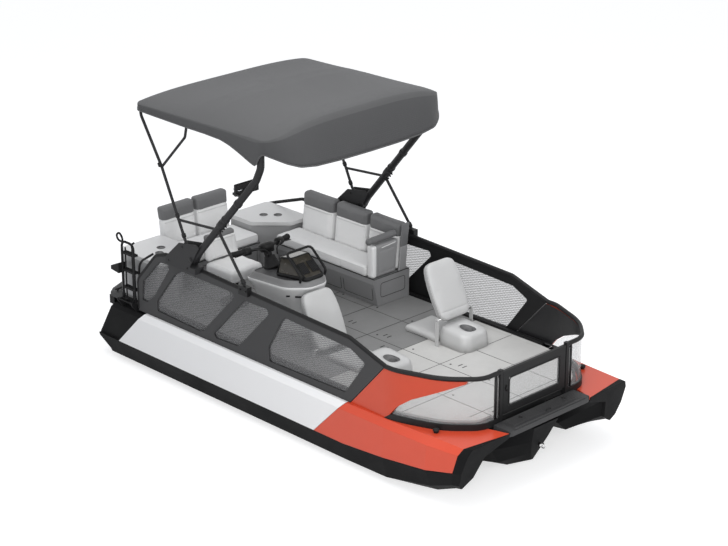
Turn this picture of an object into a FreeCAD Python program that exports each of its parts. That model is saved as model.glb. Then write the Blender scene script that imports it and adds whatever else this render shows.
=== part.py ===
import FreeCAD, Part
import math
import os
import re

import Sketcher

# Tri-hull pontoon boat with a jet drive, as one parametric document.
# Frame: +X forward to the bow, +Y to port, +Z up. The origin lies under the middle of the boat,
# on the floor that the three keels stand on. All sizes are in millimetres.

doc = FreeCAD.newDocument("pontoon_boat")
sheet = doc.addObject("Spreadsheet::Sheet", "Sizes")

SIZES = [
    # overall
    ("length", 5400, "length over all"),
    ("beam", 2430, "width over the two outer hulls"),
    ("deck_height", 720, "top of the deck tiles over the keels"),
    ("skin", 25, "thickness of the side panels and the bow caps"),
    # hulls
    ("hull_top", 560, "top of the hulls, under the cross beams"),
    ("chine_height", 250, "lower edge of the side panels"),
    ("ledge_height", 655, "flat ledge on top of the side panels"),
    ("ledge_inset", 50, "ledge's outer edge in from the side"),
    ("shoulder_inset", 130, "inner edge of the ledge in from the side"),
    ("crease_drop", 62, "crease of the side panel under the ledge"),
    ("keel_outer", 1050, "outer edge of an outer keel from the middle"),
    ("keel_inner", 780, "inner edge of an outer keel from the middle"),
    ("tunnel_outer", 650, "inner wall of an outer hull from the middle"),
    ("bilge_height", 60, "chine of the keels over the floor"),
    ("sponson_stern", 140, "stern of the outer hulls in from the end"),
    ("bow_front", 2593, "bow plane at the floor and the middle line"),
    ("bow_rake", 0.2735, "forward lean of the bow plane, per height"),
    ("bow_sweep", 0.1502, "aft sweep of the bow plane, per width"),
    ("stem_front", 2699.5, "front of the black stems at their top"),
    ("stem_rake", 0.325, "aft lean of the stems below it, per height"),
    ("stem_top", 668, "top of the stems"),
    ("center_half", 410, "half width of the centre hull"),
    ("center_keel", 190, "half width of the centre keel"),
    ("center_stern", 250, "stern of the centre hull in from the end"),
    ("center_bow", 90, "stem of the centre hull in from the bow end"),
    ("engine_length", 720, "engine block"),
    ("engine_width", 420, "engine block"),
    ("engine_tall", 380, "engine block"),
    ("engine_aft", 1500, "middle of the engine aft of the middle"),
    ("bay_floor", 90, "floor of the engine bay over the keels"),
    ("bay_gap", 30, "space round the engine"),
    # side panels and bow caps
    ("panel_aft", 2226, "lower aft corner of a side panel"),
    ("panel_front", 768, "lower front corner of a side panel"),
    ("panel_slant", 0.98, "slant of the panel ends, per height"),
    ("panel_gap", 3, "joint between side panel and bow cap"),
    # deck
    ("plate_depth", 43, "deck plate under the tiles"),
    ("beam_wide", 80, "cross beam"),
    ("tile_long", 508, "tile along the boat"),
    ("tile_wide", 497, "tile across the boat"),
    ("tile_line", 757, "joint between the dark and the light tiles"),
    ("tile_gap", 3, "open joint between two tiles"),
    ("tile_rows_aft", 6, "rows of dark tiles"),
    ("deck_half", 1045, "half width of the tiled deck"),
    ("deck_aft", 2290, "aft edge of the deck"),
    ("track_wide", 36, "edge track"),
    ("track_tall", 26, "edge track over the tiles"),
    ("step_front", 12, "front edge of the bow step in from the end"),
    ("step_half", 560, "half width of the bow step"),
    ("step_top", 672, "top of the bow step"),
    ("step_depth", 58, "thickness of the bow step"),
    ("platform_aft", 45, "aft edge of the stern platform in from the end"),
    ("platform_half", 1100, "half width of the stern platform"),
    ("platform_top", 698, "top of the stern platform"),
    ("platform_depth", 43, "thickness of the stern platform"),
    # fences and bow rails
    ("fence_plane", 1120, "middle of the fences from the middle line"),
    ("fence_thick", 34, "fence panel"),
    ("rail_radius", 22, "top rail tube"),
    ("fence_aft", 1960, "aft edge of the fences"),
    ("fence_low_aft", 1000, "height of the fence's aft upright"),
    ("fence_peak", 1390, "highest point of the fence's rail"),
    ("fence_mid", 1352, "fence's rail at the canopy brace"),
    ("fence_fore", 1306, "fence's rail where it turns down"),
    ("bow_rail_height", 1165, "bow rail and gate top"),
    ("window_thick", 6, "mesh and clear windows"),
    ("frame_band", 62, "frame left round the windows"),
    ("bow_wall_thick", 26, "corner panels and corner frames"),
    ("gate_plane", 2463, "middle of the bow gate"),
    ("gate_half", 430, "half width of the gate leaf"),
    ("gate_post", 40, "square gate posts"),
    ("gate_gap", 8, "gap round the gate leaf"),
    ("gate_thick", 32, "gate leaf"),
    ("gate_low", 735, "lower edge of the gate leaf"),
    ("hinge_back", 6, "gate's pins behind its leaf"),
    ("hinge_in", 4, "gate's pins in from its edge"),
    # seats
    ("seat_height", 1010, "top of the seat bases"),
    ("seat_lift", 20, "sofa base over the stern bench's base"),
    ("rest", 0.3, "clearance left where a piece rests on another"),
    ("cushion_tall", 115, "seat cushions"),
    ("back_top", 1550, "top of the sofa backs"),
    ("bench_back_top", 1510, "top of the stern bench backs"),
    ("back_thick", 120, "seat backs"),
    ("sofa_aft", 1690, "aft end of the sofa"),
    ("sofa_fore", 190, "front end of the sofa"),
    ("sofa_front", 530, "inner face of the sofa base"),
    ("sofa_back", 1045, "outer face of the sofa base"),
    ("back_gap", 55, "room behind the sofa backs at their foot"),
    ("back_lean", 50, "lean of the sofa backs over their height"),
    ("arm_thick", 100, "armrest of the sofa"),
    ("arm_top", 1480, "top of the armrest"),
    ("arm_roll", 42, "radius of the armrest's roll"),
    ("bench_half", 462, "half width of the stern bench"),
    ("bench_aft", 2440, "aft face of the bench base"),
    ("bench_front", 1870, "front face of the bench base"),
    ("seam", 6, "gap between two cushions"),
    ("table_top", 1200, "top of the corner tables"),
    ("table_plate", 40, "plate of the corner tables"),
    ("table_inner", 470, "inner face of the corner tables"),
    ("table_outer", 1044, "outer face of the corner tables"),
    ("table_aft", 2390, "aft face of the corner tables"),
    ("table_front", 1705, "front face of the corner tables"),
    ("table_corner", 300, "cut corner of the tables"),
    ("cup_radius", 42, "cup holders"),
    ("cup_depth", 70, "cup holders"),
    # helm
    ("helm_side", 400, "helm's middle line to starboard"),
    ("console_aft", 850, "aft end of the console"),
    ("console_nose", 40, "front end of the console, ahead of the middle"),
    ("console_half", 265, "half width of the console"),
    ("console_top", 1290, "top of the console at its aft end"),
    ("console_rise", 60, "rise of the console to its nose"),
    ("handle_height", 1470, "middle of the handlebar"),
    ("handle_aft", 790, "middle of the handlebar aft of the middle"),
    ("handle_half", 390, "half width of the handlebar"),
    ("column_lean", 25, "lean of the steering column, in degrees"),
    ("helm_seat_aft", 1300, "middle of the helm seat"),
    ("helm_seat_half", 235, "half width of the helm seat"),
    ("helm_seat_top", 1175, "top of the helm seat cushion"),
    ("helm_back_top", 1455, "top of the helm seat's back"),
    # loungers
    ("lounger_side", 530, "middle of a lounger from the middle line"),
    ("lounger_half", 195, "half width of a lounger block"),
    ("block_aft", 900, "aft face of the lounger blocks"),
    ("block_front", 1290, "front face of the lounger blocks"),
    ("block_top", 925, "top of the lounger blocks"),
    ("pad_aft", 430, "aft end of the flat lounger pads"),
    ("pad_tall", 75, "flat lounger pads"),
    ("recline", 26, "lean of the lounger backs, in degrees"),
    ("lounger_back", 620, "length of the lounger backs"),
    ("lounger_back_thick", 95, "thickness of the lounger backs"),
    ("lounger_back_half", 235, "half width of a lounger back"),
    ("hinge_ahead", 45, "hinge of a lounger back ahead of its block's aft face"),
    ("hinge_behind", 125, "hinge of the starboard lounger back behind its pad"),
    ("hinge_rise", 67, "hinge of a lounger back over what it stands on"),
    ("ear_gap", 6, "gap between a lounger back and its hinge plates"),
    ("ear_thick", 8, "hinge plates of the lounger backs"),
    ("hinge_bar", 8, "radius of the bar that a lounger back turns on"),
    # canopy
    ("canopy_half", 1160, "half width of the canopy"),
    ("canopy_aft", 1860, "aft edge of the canopy"),
    ("canopy_crease", 170, "front crease of the canopy ahead of the middle"),
    ("canopy_lip", 300, "front lower edge of the canopy"),
    ("canopy_edge_aft", 2938, "top of the canopy's aft edge"),
    ("canopy_edge_fore", 2978, "top of the canopy's front crease at the side"),
    ("canopy_crown", 137, "rise of the front crease in the middle"),
    ("canopy_skirt", 110, "depth of the side skirt"),
    ("canopy_front_low", 2650, "lower edge of the front skirt"),
    ("canopy_tail_low", 2690, "tip of the skirt's tail beside a main strut"),
    ("canopy_corner_low", 2815, "lower edge of the skirt at its front corners"),
    ("strut_plane", 1158, "main struts from the middle line"),
    ("strut_radius", 37, "main strut tube"),
    ("leg_radius", 15, "thin canopy legs"),
    ("foot_height", 1500, "pivot of the canopy on its foot plates"),
    ("foot_aft", 1000, "pivot of the canopy aft of the middle"),
    ("pin_gap", 6, "clearance beside the canopy's pivot"),
    ("pin_radius", 10, "pin that the canopy tilts on"),
    ("pin_fit", 0.05, "running clearance round that pin"),
    ("boss_radius", 40, "boss at the foot of a main strut"),
    ("boss_half", 40, "half width of that boss"),
    ("canopy_cloth", 16, "canopy fabric with its hems, as a solid"),
    ("brace_aft", 265, "foot of the front brace aft of the middle"),
    ("brace_height", 1425, "foot of the front brace"),
    # stern
    ("ladder_aft", 2110, "middle of the boarding ladder"),
    ("ladder_half", 95, "half width of the boarding ladder"),
    ("ladder_tall", 640, "length of the boarding ladder"),
    ("ladder_pin", 1196, "ladder's pin from the middle line"),
    ("ladder_offset", 60, "ladder's rails inboard of its pin"),
    ("ladder_tube", 13, "ladder's rail tube radius"),
    ("lug_gap", 6, "gap between the ladder and its lugs"),
    ("lug_thick", 12, "lugs of the ladder"),
    ("jet_radius", 95, "jet pump housing"),
    ("jet_height", 210, "middle of the jet over the keels"),
    ("nozzle_length", 120, "steering nozzle"),
    ("nozzle_radius", 76, "steering nozzle's front"),
    ("nozzle_gap", 6, "gap between pump and nozzle"),
]
for row, (alias, value, note) in enumerate(SIZES, 1):
    sheet.set(f"A{row}", note)
    sheet.set(f"B{row}", str(value))
    sheet.setAlias(f"B{row}", alias)
doc.recompute()

SIZE = {alias: float(sheet.get(alias)) for alias, value, note in SIZES}
WORDS = re.compile(r"\b(" + "|".join(sorted(SIZE, key=len, reverse=True)) + r")\b")
BOW = SIZE["length"] / 2
STERN = -SIZE["length"] / 2
HALF = SIZE["beam"] / 2
SIDES = {"starboard": -1, "port": 1}
Vector = FreeCAD.Vector


def bind(thing, prop, text):
    """Ties one property of an object to the sizes that its formula names."""
    thing.setExpression(prop, WORDS.sub(r"Sizes.\1", str(text)))


def box(name, low, dims):
    """A box with its low corner and its three dimensions as formulas."""
    piece = doc.addObject("Part::Box", name)
    for prop, text in zip(("Length", "Width", "Height"), dims):
        bind(piece, prop, text)
    for axis, text in zip("xyz", low):
        bind(piece, f".Placement.Base.{axis}", text)
    return piece


def rod(name, base, radius, height, axis=(0, 0, 1)):
    """A round bar from a base point along an axis, with its sizes as formulas."""
    piece = doc.addObject("Part::Cylinder", name)
    bind(piece, "Radius", radius)
    bind(piece, "Height", height)
    piece.Placement.Rotation = FreeCAD.Rotation(Vector(0, 0, 1), Vector(*axis))
    for letter, text in zip("xyz", base):
        bind(piece, f".Placement.Base.{letter}", text)
    return piece


def group(name, pieces):
    """Several like solids kept as one node."""
    piece = doc.addObject("Part::Compound", name)
    piece.Links = pieces
    return piece


def fused(name, pieces):
    piece = doc.addObject("Part::MultiFuse", name)
    piece.Shapes = pieces
    piece.Refine = True
    return piece


def cut(name, base, tool):
    piece = doc.addObject("Part::Cut", name)
    piece.Base = base
    piece.Tool = tool
    return piece


def shaped(name, shape):
    """A piece whose form only the kernel's own functions can make."""
    piece = doc.addObject("Part::Feature", name)
    piece.Shape = shape
    return piece


def outline_pad(name, plane, points, depth, start):
    """A body padded from a closed outline, each corner and the depth given as formulas."""
    body = doc.addObject("PartDesign::Body", name)
    sketch = body.newObject("Sketcher::SketchObject", name + "_outline")
    role = {"XY": "XY_Plane", "XZ": "XZ_Plane", "YZ": "YZ_Plane"}[plane]
    base = [o for o in body.Origin.OriginFeatures if o.Role == role][0]
    sketch.AttachmentSupport = (base, "")
    sketch.MapMode = "FlatFace"
    bind(sketch, ".AttachmentOffset.Base.z", start)
    count = len(points)
    ring = [Vector(math.cos(2 * math.pi * i / count), math.sin(2 * math.pi * i / count), 0) * 500
            for i in range(count)]
    for i in range(count):
        sketch.addGeometry(Part.LineSegment(ring[i], ring[(i + 1) % count]))
    for i in range(count):
        sketch.addConstraint(Sketcher.Constraint("Coincident", i, 2, (i + 1) % count, 1))
    for i, corner in enumerate(points):
        for kind, text, value in zip(("DistanceX", "DistanceY"), corner, ring[i]):
            number = sketch.addConstraint(Sketcher.Constraint(kind, -1, 1, i, 1, value))
            bind(sketch, f"Constraints[{number}]", text)
    pad = body.newObject("PartDesign::Pad", name + "_pad")
    pad.Profile = sketch
    bind(pad, "Length", depth)
    body.Tip = pad
    return body


def polygon(points):
    return Part.Face(Part.makePolygon([Vector(*p) for p in points] + [Vector(*points[0])]))


def prism_xz(points, y_low, y_high):
    """A plate whose outline is drawn in side view."""
    return polygon([(x, y_low, z) for x, z in points]).extrude(Vector(0, y_high - y_low, 0))


def prism_xy(points, z_low, z_high):
    """A plate whose outline is drawn in plan."""
    return polygon([(x, y, z_low) for x, y in points]).extrude(Vector(0, 0, z_high - z_low))


def ruled(sections):
    """A solid through flat sections with straight lines between them."""
    wires = [Part.makePolygon([Vector(*p) for p in s] + [Vector(*s[0])]) for s in sections]
    return Part.makeLoft(wires, True, True)


def rounded(shape, radius, keep=lambda edge: True):
    """Rounds the edges that a test picks."""
    edges = [e for e in shape.Edges if keep(e)]
    return shape.makeFillet(radius, edges) if edges else shape


def along(axis):
    """Picks the straight edges that lie along X, Y or Z."""
    def test(edge):
        if edge.Curve.TypeId != "Part::GeomLine":
            return False
        return abs(abs(edge.Curve.Direction[axis]) - 1) < 1e-6
    return test


def bent_path(points, turn):
    """Straight runs joined by tangent arcs, each arc no larger than its runs allow."""
    corners = [Vector(*p) for p in points]
    edges = []
    at = corners[0]
    for before, corner, after in zip(corners, corners[1:], corners[2:]):
        back = (before - corner).normalize()
        ahead = (after - corner).normalize()
        half = back.getAngle(ahead) / 2
        run = min((before - corner).Length, (after - corner).Length) * 0.48
        reach = min(turn / math.tan(half), run)
        start = corner + back * reach
        stop = corner + ahead * reach
        radius = reach * math.tan(half)
        middle = corner + (back + ahead).normalize() * (radius / math.sin(half) - radius)
        edges.append(Part.LineSegment(at, start).toShape())
        edges.append(Part.Arc(start, middle, stop).toShape())
        at = stop
    edges.append(Part.LineSegment(at, corners[-1]).toShape())
    return Part.Wire(edges)


def tube(points, radius, turn=60):
    """A round tube along a bent path."""
    path = bent_path(points, turn)
    first = path.Edges[0]
    axis = first.tangentAt(first.FirstParameter)
    ring = Part.Wire([Part.makeCircle(radius, Vector(*points[0]), axis)])
    return path.makePipeShell([ring], True, True)


def sided(side, points):
    """Takes points drawn on the port side to one side."""
    return [(x, y * side, z) for x, y, z in points]


# The outer hulls: black moulded floats with flat keels, a stepped shoulder for the side panel,
# a raked stem and a tunnel wall that sweeps out to it.
def bow_plane(y, z):
    return SIZE["bow_front"] + SIZE["bow_rake"] * z - SIZE["bow_sweep"] * y


def stem_plane(z):
    return SIZE["stem_front"] - SIZE["stem_rake"] * (SIZE["stem_top"] - z)


def sponson(side):
    skin = SIZE["skin"]
    low = SIZE["chine_height"]
    top = SIZE["ledge_height"] - skin
    shelf = SIZE["hull_top"]
    crease = SIZE["ledge_height"] - SIZE["crease_drop"]
    shoulder = HALF - SIZE["shoulder_inset"]
    wall = SIZE["tunnel_outer"]
    body = [(HALF, low), (HALF - skin, low), (HALF - skin - 8, crease),
            (HALF - SIZE["ledge_inset"] - 14, top), (shoulder, top), (shoulder, shelf),
            (wall, shelf), (wall + 15, SIZE["bilge_height"] + 120), (SIZE["keel_inner"], 0),
            (SIZE["keel_outer"], 0), (HALF - 55, SIZE["bilge_height"])]
    mid = [(1213, 290), (1187, 290), (1178, crease), (1142, top), (1078, top), (1076, shelf),
           (wall, shelf), (wall + 12, 185), (785, 14), (1050, 10), (1158, 68)]
    quarter = [(1191, 338), (1166, 338), (1157, crease - 4), (1097, top), (1066, top), (1060, top - 4),
               (640, top - 4), (652, 200), (770, 92), (1020, 84), (1120, 160)]
    bow = [(1150, 402), (1124, 402), (1112, crease - 6), (1075, top), (1030, top), (1000, top),
           (562, top), (850, 500), (925, 290), (1050, 205), (1118, 262)]
    scale = HALF / 1215
    sections = [[(x, y * side, z) for y, z in body] for x in (STERN + SIZE["sponson_stern"], 1180)]
    sections.append([(1700, y * scale * side, z) for y, z in mid])
    sections.append([(2230, y * scale * side, z) for y, z in quarter])
    sections.append([(bow_plane(y, z) + SIZE["rest"], y * scale * side, z) for y, z in bow])
    float_hull = ruled(sections)
    rim = SIZE["stem_top"]
    near = [(1150, 402), (1140, crease), (1089, rim - 12), (562, rim - 12), (566, 600), (850, 500),
            (925, 290), (1050, 205), (1118, 262)]
    far = [(1122, 408), (1108, crease), (1066, rim), (562, rim), (566, 606), (845, 506),
           (920, 296), (1040, 212), (1096, 268)]
    nose = ruled([[(bow_plane(y, z) + SIZE["rest"], y * scale * side, z) for y, z in near],
                  [(max(stem_plane(z), bow_plane(y, z) + 1.5), y * scale * side, z) for y, z in far]])
    end = STERN + SIZE["sponson_stern"]
    upper = prism_xz([(end - 5, low), (end + 215, 640), (end - 5, 640)], -HALF, HALF)
    lower = prism_xz([(end - 5, low - 30), (end + 130, 95), (end + 170, -5), (end - 5, -5)], -HALF, HALF)
    return float_hull.cut(upper).cut(lower).fuse(nose)


shaped("sponsons", Part.makeCompound([sponson(side) for side in SIDES.values()]))


# The side panels: white skins with a crease under their flat ledge, both ends cut on a slant.
def side_panel(side):
    skin = SIZE["skin"]
    low = SIZE["chine_height"]
    top = SIZE["ledge_height"]
    crease = top - SIZE["crease_drop"]
    shoulder = HALF - SIZE["shoulder_inset"]
    outline = [(HALF, low), (HALF - 8, crease), (HALF - SIZE["ledge_inset"], top), (shoulder, top),
               (shoulder, top - skin), (HALF - SIZE["ledge_inset"] - 14, top - skin),
               (HALF - skin - 8, crease), (HALF - skin, low)]
    slant = SIZE["panel_slant"]
    face = polygon([(slant * (z - low) - SIZE["panel_aft"], y * side, z) for y, z in outline])
    return face.extrude(Vector(SIZE["panel_aft"] + SIZE["panel_front"], 0, 0))


shaped("side_panels", Part.makeCompound([side_panel(side) for side in SIDES.values()]))


# The bow caps: red shells over the front of the outer hulls, from the side panels' slanted ends
# to the raked bow, with a wide flat top that runs in under the deck.
def bow_cap(side):
    skin = SIZE["skin"]
    low = SIZE["chine_height"]
    top = SIZE["ledge_height"]
    crease = top - SIZE["crease_drop"]
    shoulder = HALF - SIZE["shoulder_inset"]
    aft = [(HALF, low), (HALF - 8, crease), (HALF - SIZE["ledge_inset"], top), (shoulder, top),
           (shoulder, top - skin), (HALF - SIZE["ledge_inset"] - 14, top - skin),
           (HALF - skin - 8, crease), (HALF - skin, low)]
    mid = [(1213, 290), (1204, crease), (1147, top), (1000, top),
           (1000, top - skin + 1), (1143, top - skin + 1), (1180, crease), (1189, 290)]
    fore = [(1193, 345), (1184, crease), (1110, top), (700, top),
            (700, top - skin + 1), (1100, top - skin + 1), (1160, crease - 4), (1169, 345)]
    bow = [(1150, 405), (1140, crease), (1089, top), (560, top),
           (560, top - skin + 1), (1076, top - skin + 1), (1116, crease - 4), (1126, 405)]
    slant = SIZE["panel_slant"]
    start = SIZE["panel_front"] + SIZE["panel_gap"]
    scale = HALF / 1215
    sections = [[(start + slant * (z - low), y * side, z) for y, z in aft]]
    sections.append([(1180, y * side, z) for y, z in aft])
    sections.append([(1700, y * scale * side, z) for y, z in mid])
    sections.append([(2230, y * scale * side, z) for y, z in fore])
    sections.append([(bow_plane(y, z), y * scale * side, z) for y, z in bow])
    return ruled(sections)


shaped("bow_caps", Part.makeCompound([bow_cap(side) for side in SIDES.values()]))


# The centre hull: a black float under the middle with the engine bay, and the engine in it.
def center_hull():
    wide = SIZE["center_half"]
    keel = SIZE["center_keel"]
    top = SIZE["hull_top"]
    bilge = SIZE["bilge_height"]
    half = [(wide, top), (wide, 150), (wide - 30, bilge), (keel, 0)]
    near = [(wide - 10, top), (wide - 10, 170), (wide - 55, bilge + 5), (keel + 5, 6)]
    fore = [(wide - 60, top), (wide - 80, 250), (wide - 190, 90), (keel - 90, 24)]
    tip = [(170, top), (120, 380), (60, 230), (14, 128)]

    def station(x, points, rake=0.0):
        right = [(x + rake * z, y, z) for y, z in points]
        left = [(x + rake * z, -y, z) for y, z in reversed(points)]
        return right + left

    end = BOW - SIZE["center_bow"]
    sections = [station(STERN + SIZE["center_stern"], half), station(1300, half),
                station(1950, near), station(2250, fore), station(end - 183, tip, 0.379)]
    hull = ruled(sections)
    gap = SIZE["bay_gap"]
    long = SIZE["engine_length"] + 2 * gap
    broad = SIZE["engine_width"] + 2 * gap
    tall = SIZE["engine_tall"] + gap
    bay = Part.makeBox(long, broad, tall,
                       Vector(-SIZE["engine_aft"] - long / 2, -broad / 2, SIZE["bay_floor"]))
    return hull.cut(bay)


shaped("center_hull", center_hull())
box("engine_block", ("-engine_aft - engine_length/2", "-engine_width/2", "bay_floor"),
    ("engine_length", "engine_width", "engine_tall"))


# The deck: a black plate on cross beams that tie the three hulls, tiles on top, a track each side.
def corner_path(side, z):
    """The plan of a bow corner, from the fence's front end round to the gate post."""
    plane = SIZE["fence_plane"]
    front = SIZE["gate_plane"]
    post = SIZE["gate_half"] + SIZE["gate_gap"] + SIZE["gate_post"]
    return sided(side, [(1190, plane, z), (1760, plane, z), (2200, plane - 165, z),
                        (front, plane - 430, z), (front, post, z)])


def deck_plan(inset):
    """The plan of the deck inside the walls, with its rounded bow corners."""
    half = SIZE["deck_half"] + SIZE["track_wide"] - inset
    front = SIZE["gate_plane"] - SIZE["gate_post"] / 2 - inset
    wall = bent_path(corner_path(1, 0), 700).discretize(48)
    shift = SIZE["fence_plane"] - half
    corner = []
    for before, after in zip(wall, wall[1:]):
        step = (after - before).normalize()
        point = (before + after) * 0.5 + Vector(-step.y, step.x, 0) * (-shift)
        if point.x < front - 0.5:
            corner.append(point)
    port = [(p.x, p.y) for p in corner] + [(front, corner[-1].y)]
    plan = [(-SIZE["deck_aft"], half)] + port
    plan += [(x, -y) for x, y in reversed(plan)]
    return Part.Face(Part.makePolygon([Vector(x, y, 0) for x, y in plan + plan[:1]]))


def deck_frame():
    low = SIZE["ledge_height"]
    plate = deck_plan(0).extrude(Vector(0, 0, SIZE["plate_depth"]))
    plate.translate(Vector(0, 0, low))
    shoulder = HALF - SIZE["shoulder_inset"]
    beams = []
    for x in (-2240, -1500, -750, 0, 750, 1500):
        reach = shoulder if x < 1400 else shoulder - 100
        beams.append(Part.makeBox(SIZE["beam_wide"], 2 * reach, low - SIZE["hull_top"],
                                  Vector(x, -reach, SIZE["hull_top"])))
    aft_beam = Part.makeBox(SIZE["beam_wide"], 2 * shoulder, low - 0.3 - SIZE["hull_top"],
                            Vector(-2520, -shoulder, SIZE["hull_top"]))
    tie = Part.makeBox(300, 400, low - 0.3 - SIZE["hull_top"], Vector(-2500, -200, SIZE["hull_top"]))
    tongue = Part.makeBox(230, 500, SIZE["step_top"] - SIZE["step_depth"] - 0.3 - SIZE["hull_top"],
                          Vector(2350, -250, SIZE["hull_top"]))
    neck = Part.makeBox(60, 500, 60, Vector(2350, -250, SIZE["step_top"] - SIZE["step_depth"] - 10))
    beams += [aft_beam, tie, tongue, neck]
    return plate.multiFuse(beams).removeSplitter()


shaped("deck_frame", deck_frame())


def tiles(first, rows, x_limit):
    """Square tiles with open joints, trimmed to the deck's plan."""
    low = SIZE["ledge_height"] + SIZE["plate_depth"]
    high = SIZE["deck_height"]
    gap = SIZE["tile_gap"] / 2
    area = deck_plan(SIZE["track_wide"]).extrude(Vector(0, 0, high - low))
    area.translate(Vector(0, 0, low))
    found = []
    for row in range(rows):
        x = first + row * SIZE["tile_long"]
        long = min(SIZE["tile_long"], x_limit - x)
        for column in range(-3, 3):
            y = column * SIZE["tile_wide"]
            cell = Part.makeBox(long - 2 * gap, SIZE["tile_wide"] - 2 * gap, high - low,
                                Vector(x + gap, y + gap, low))
            found += [s for s in cell.common(area).Solids if s.Volume > 1e4]
    return Part.makeCompound(found)


dark_rows = int(SIZE["tile_rows_aft"])
shaped("deck_tiles_dark", tiles(SIZE["tile_line"] - dark_rows * SIZE["tile_long"], dark_rows,
                                SIZE["tile_line"]))
light_end = SIZE["gate_plane"]
light_rows = math.ceil((light_end - SIZE["tile_line"]) / SIZE["tile_long"])
shaped("deck_tiles_light", tiles(SIZE["tile_line"], light_rows, light_end))

tracks = []
for name, side in SIDES.items():
    low_y = "deck_half + 1" if side > 0 else "-deck_half - track_wide + 1"
    tracks.append(box("track_" + name, ("-table_front + 2", low_y, "ledge_height + plate_depth"),
                      ("table_front + 1658", "track_wide - 2",
                       "deck_height + track_tall - ledge_height - plate_depth")))
group("deck_tracks", tracks)

# The bow step: a dark grey slab between the two bow caps, ahead of the gate.
step = outline_pad("bow_step", "XY",
                   [("gate_plane + gate_post/2 + 0.3", "-step_half + 2"), ("length/2 - step_front - 10", "-step_half + 2"),
                    ("length/2 - step_front", "-step_half + 40"), ("length/2 - step_front", "step_half - 40"),
                    ("length/2 - step_front - 10", "step_half - 2"), ("gate_plane + gate_post/2 + 0.3", "step_half - 2")],
                   "step_depth", "step_top - step_depth")

# The stern platform, with the bumper strip along its aft edge.
platform = outline_pad("stern_platform", "XY",
                       [("-deck_aft - 0.3", "-platform_half"), ("-deck_aft - 0.3", "platform_half"),
                        ("-length/2 + platform_aft + 175", "platform_half"),
                        ("-length/2 + platform_aft + 105", "platform_half - 84"),
                        ("-length/2 + platform_aft", "platform_half - 330"),
                        ("-length/2 + platform_aft", "-platform_half + 330"),
                        ("-length/2 + platform_aft + 105", "-platform_half + 84"),
                        ("-length/2 + platform_aft + 175", "-platform_half")],
                       "platform_depth", "platform_top - platform_depth")


# The fences: dark panels with four windows each, under a round rail that dips to the bow.
def fence_outline():
    aft = -SIZE["fence_aft"]
    low = SIZE["ledge_height"]
    return [(aft, low), (aft, SIZE["fence_low_aft"]), (aft + 300, SIZE["fence_peak"] - 55),
            (aft + 460, SIZE["fence_peak"]), (-380, SIZE["fence_mid"]), (1177, SIZE["fence_fore"]),
            (1645, SIZE["bow_rail_height"]), (1190, low)]


def window_outlines():
    """The four windows of one fence, aft to fore, inside the frame band."""
    low = SIZE["ledge_height"] + SIZE["frame_band"]
    top = SIZE["fence_mid"] - SIZE["frame_band"] - 5
    fore = SIZE["fence_fore"] - SIZE["frame_band"]
    return [
        [(-1895, low + 73), (-1875, 1000), (-1600, top), (-1455, top + 15), (-1440, top - 35),
         (-1690, 890), (-1810, low + 73)],
        [(-1650, low + 20), (-1650, 850), (-1350, top - 63), (-1240, top), (-480, top), (-440, top - 45),
         (-930, low + 18), (-1000, low)],
        [(-290, fore + 5), (40, fore + 15), (64, fore - 35), (-392, low + 17), (-725, low),
         (-765, low + 42)],
        [(56, low + 150), (245, fore - 55), (300, fore), (1200, fore - 35), (1400, 1115),
         (1125, low + 22), (64, low)],
    ]


def window_block(outline, y_low, y_high):
    return rounded(prism_xz(outline, y_low, y_high), 22, along(1))


def fence(side):
    middle = SIZE["fence_plane"] * side
    half = SIZE["fence_thick"] / 2
    panel = prism_xz(fence_outline(), middle - half, middle + half)
    for outline in window_outlines():
        panel = panel.cut(window_block(outline, middle - 60, middle + 60))
    outline = fence_outline()
    path = [(x, middle, z) for x, z in outline[:7]]
    path[0] = (path[0][0], middle, SIZE["ledge_height"] + SIZE["rail_radius"])
    rail = tube(path, SIZE["rail_radius"], 120)
    return panel.fuse(rail).removeSplitter()


for name, side in SIDES.items():
    shaped("fence_" + name, fence(side))


def fence_windows():
    half = SIZE["window_thick"] / 2
    panes = []
    for side in SIDES.values():
        middle = SIZE["fence_plane"] * side
        panes += [window_block(o, middle - half, middle + half) for o in window_outlines()]
    return Part.makeCompound(panes)


shaped("fence_windows", fence_windows())


# The bow corners: a wall that curves in to the gate, red aft and clear below its swoosh, between
# a round top rail and a lower rail, ending in a square post beside the gate.
def bow_wall(side, thick, low, high):
    path = bent_path(corner_path(side, low), 700)
    y = SIZE["fence_plane"] * side
    corners = [(1190, y - thick / 2, low), (1190, y + thick / 2, low),
               (1190, y + thick / 2, high), (1190, y - thick / 2, high)]
    ring = Part.makePolygon([Vector(*c) for c in corners + corners[:1]])
    return path.makePipeShell([ring], True, True)


def corner_outline():
    low = SIZE["ledge_height"]
    top = SIZE["bow_rail_height"] - SIZE["rail_radius"] - SIZE["rest"]
    return [(1197, low), (1640, low), (1705, low + 45), (1790, low + 150), (1925, low + 250),
            (2130, low + 350), (2360, top - 25), (2360, top), (1636, top)]


def corner_panel(side):
    wall = bow_wall(side, SIZE["bow_wall_thick"], SIZE["ledge_height"], SIZE["bow_rail_height"])
    return wall.common(prism_xz(corner_outline(), -HALF, HALF))


def bow_window(side):
    low = SIZE["ledge_height"]
    top = SIZE["bow_rail_height"] - SIZE["rail_radius"] - SIZE["rest"]
    wall = bow_wall(side, SIZE["window_thick"], low, SIZE["bow_rail_height"])
    outline = [(1735, low + 62), (2600, low + 62), (2600, top), (2363, top), (2363, top - 25),
               (2135, low + 347), (1930, low + 247), (1797, low + 147)]
    return wall.common(prism_xz(outline, -HALF, HALF))


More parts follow.
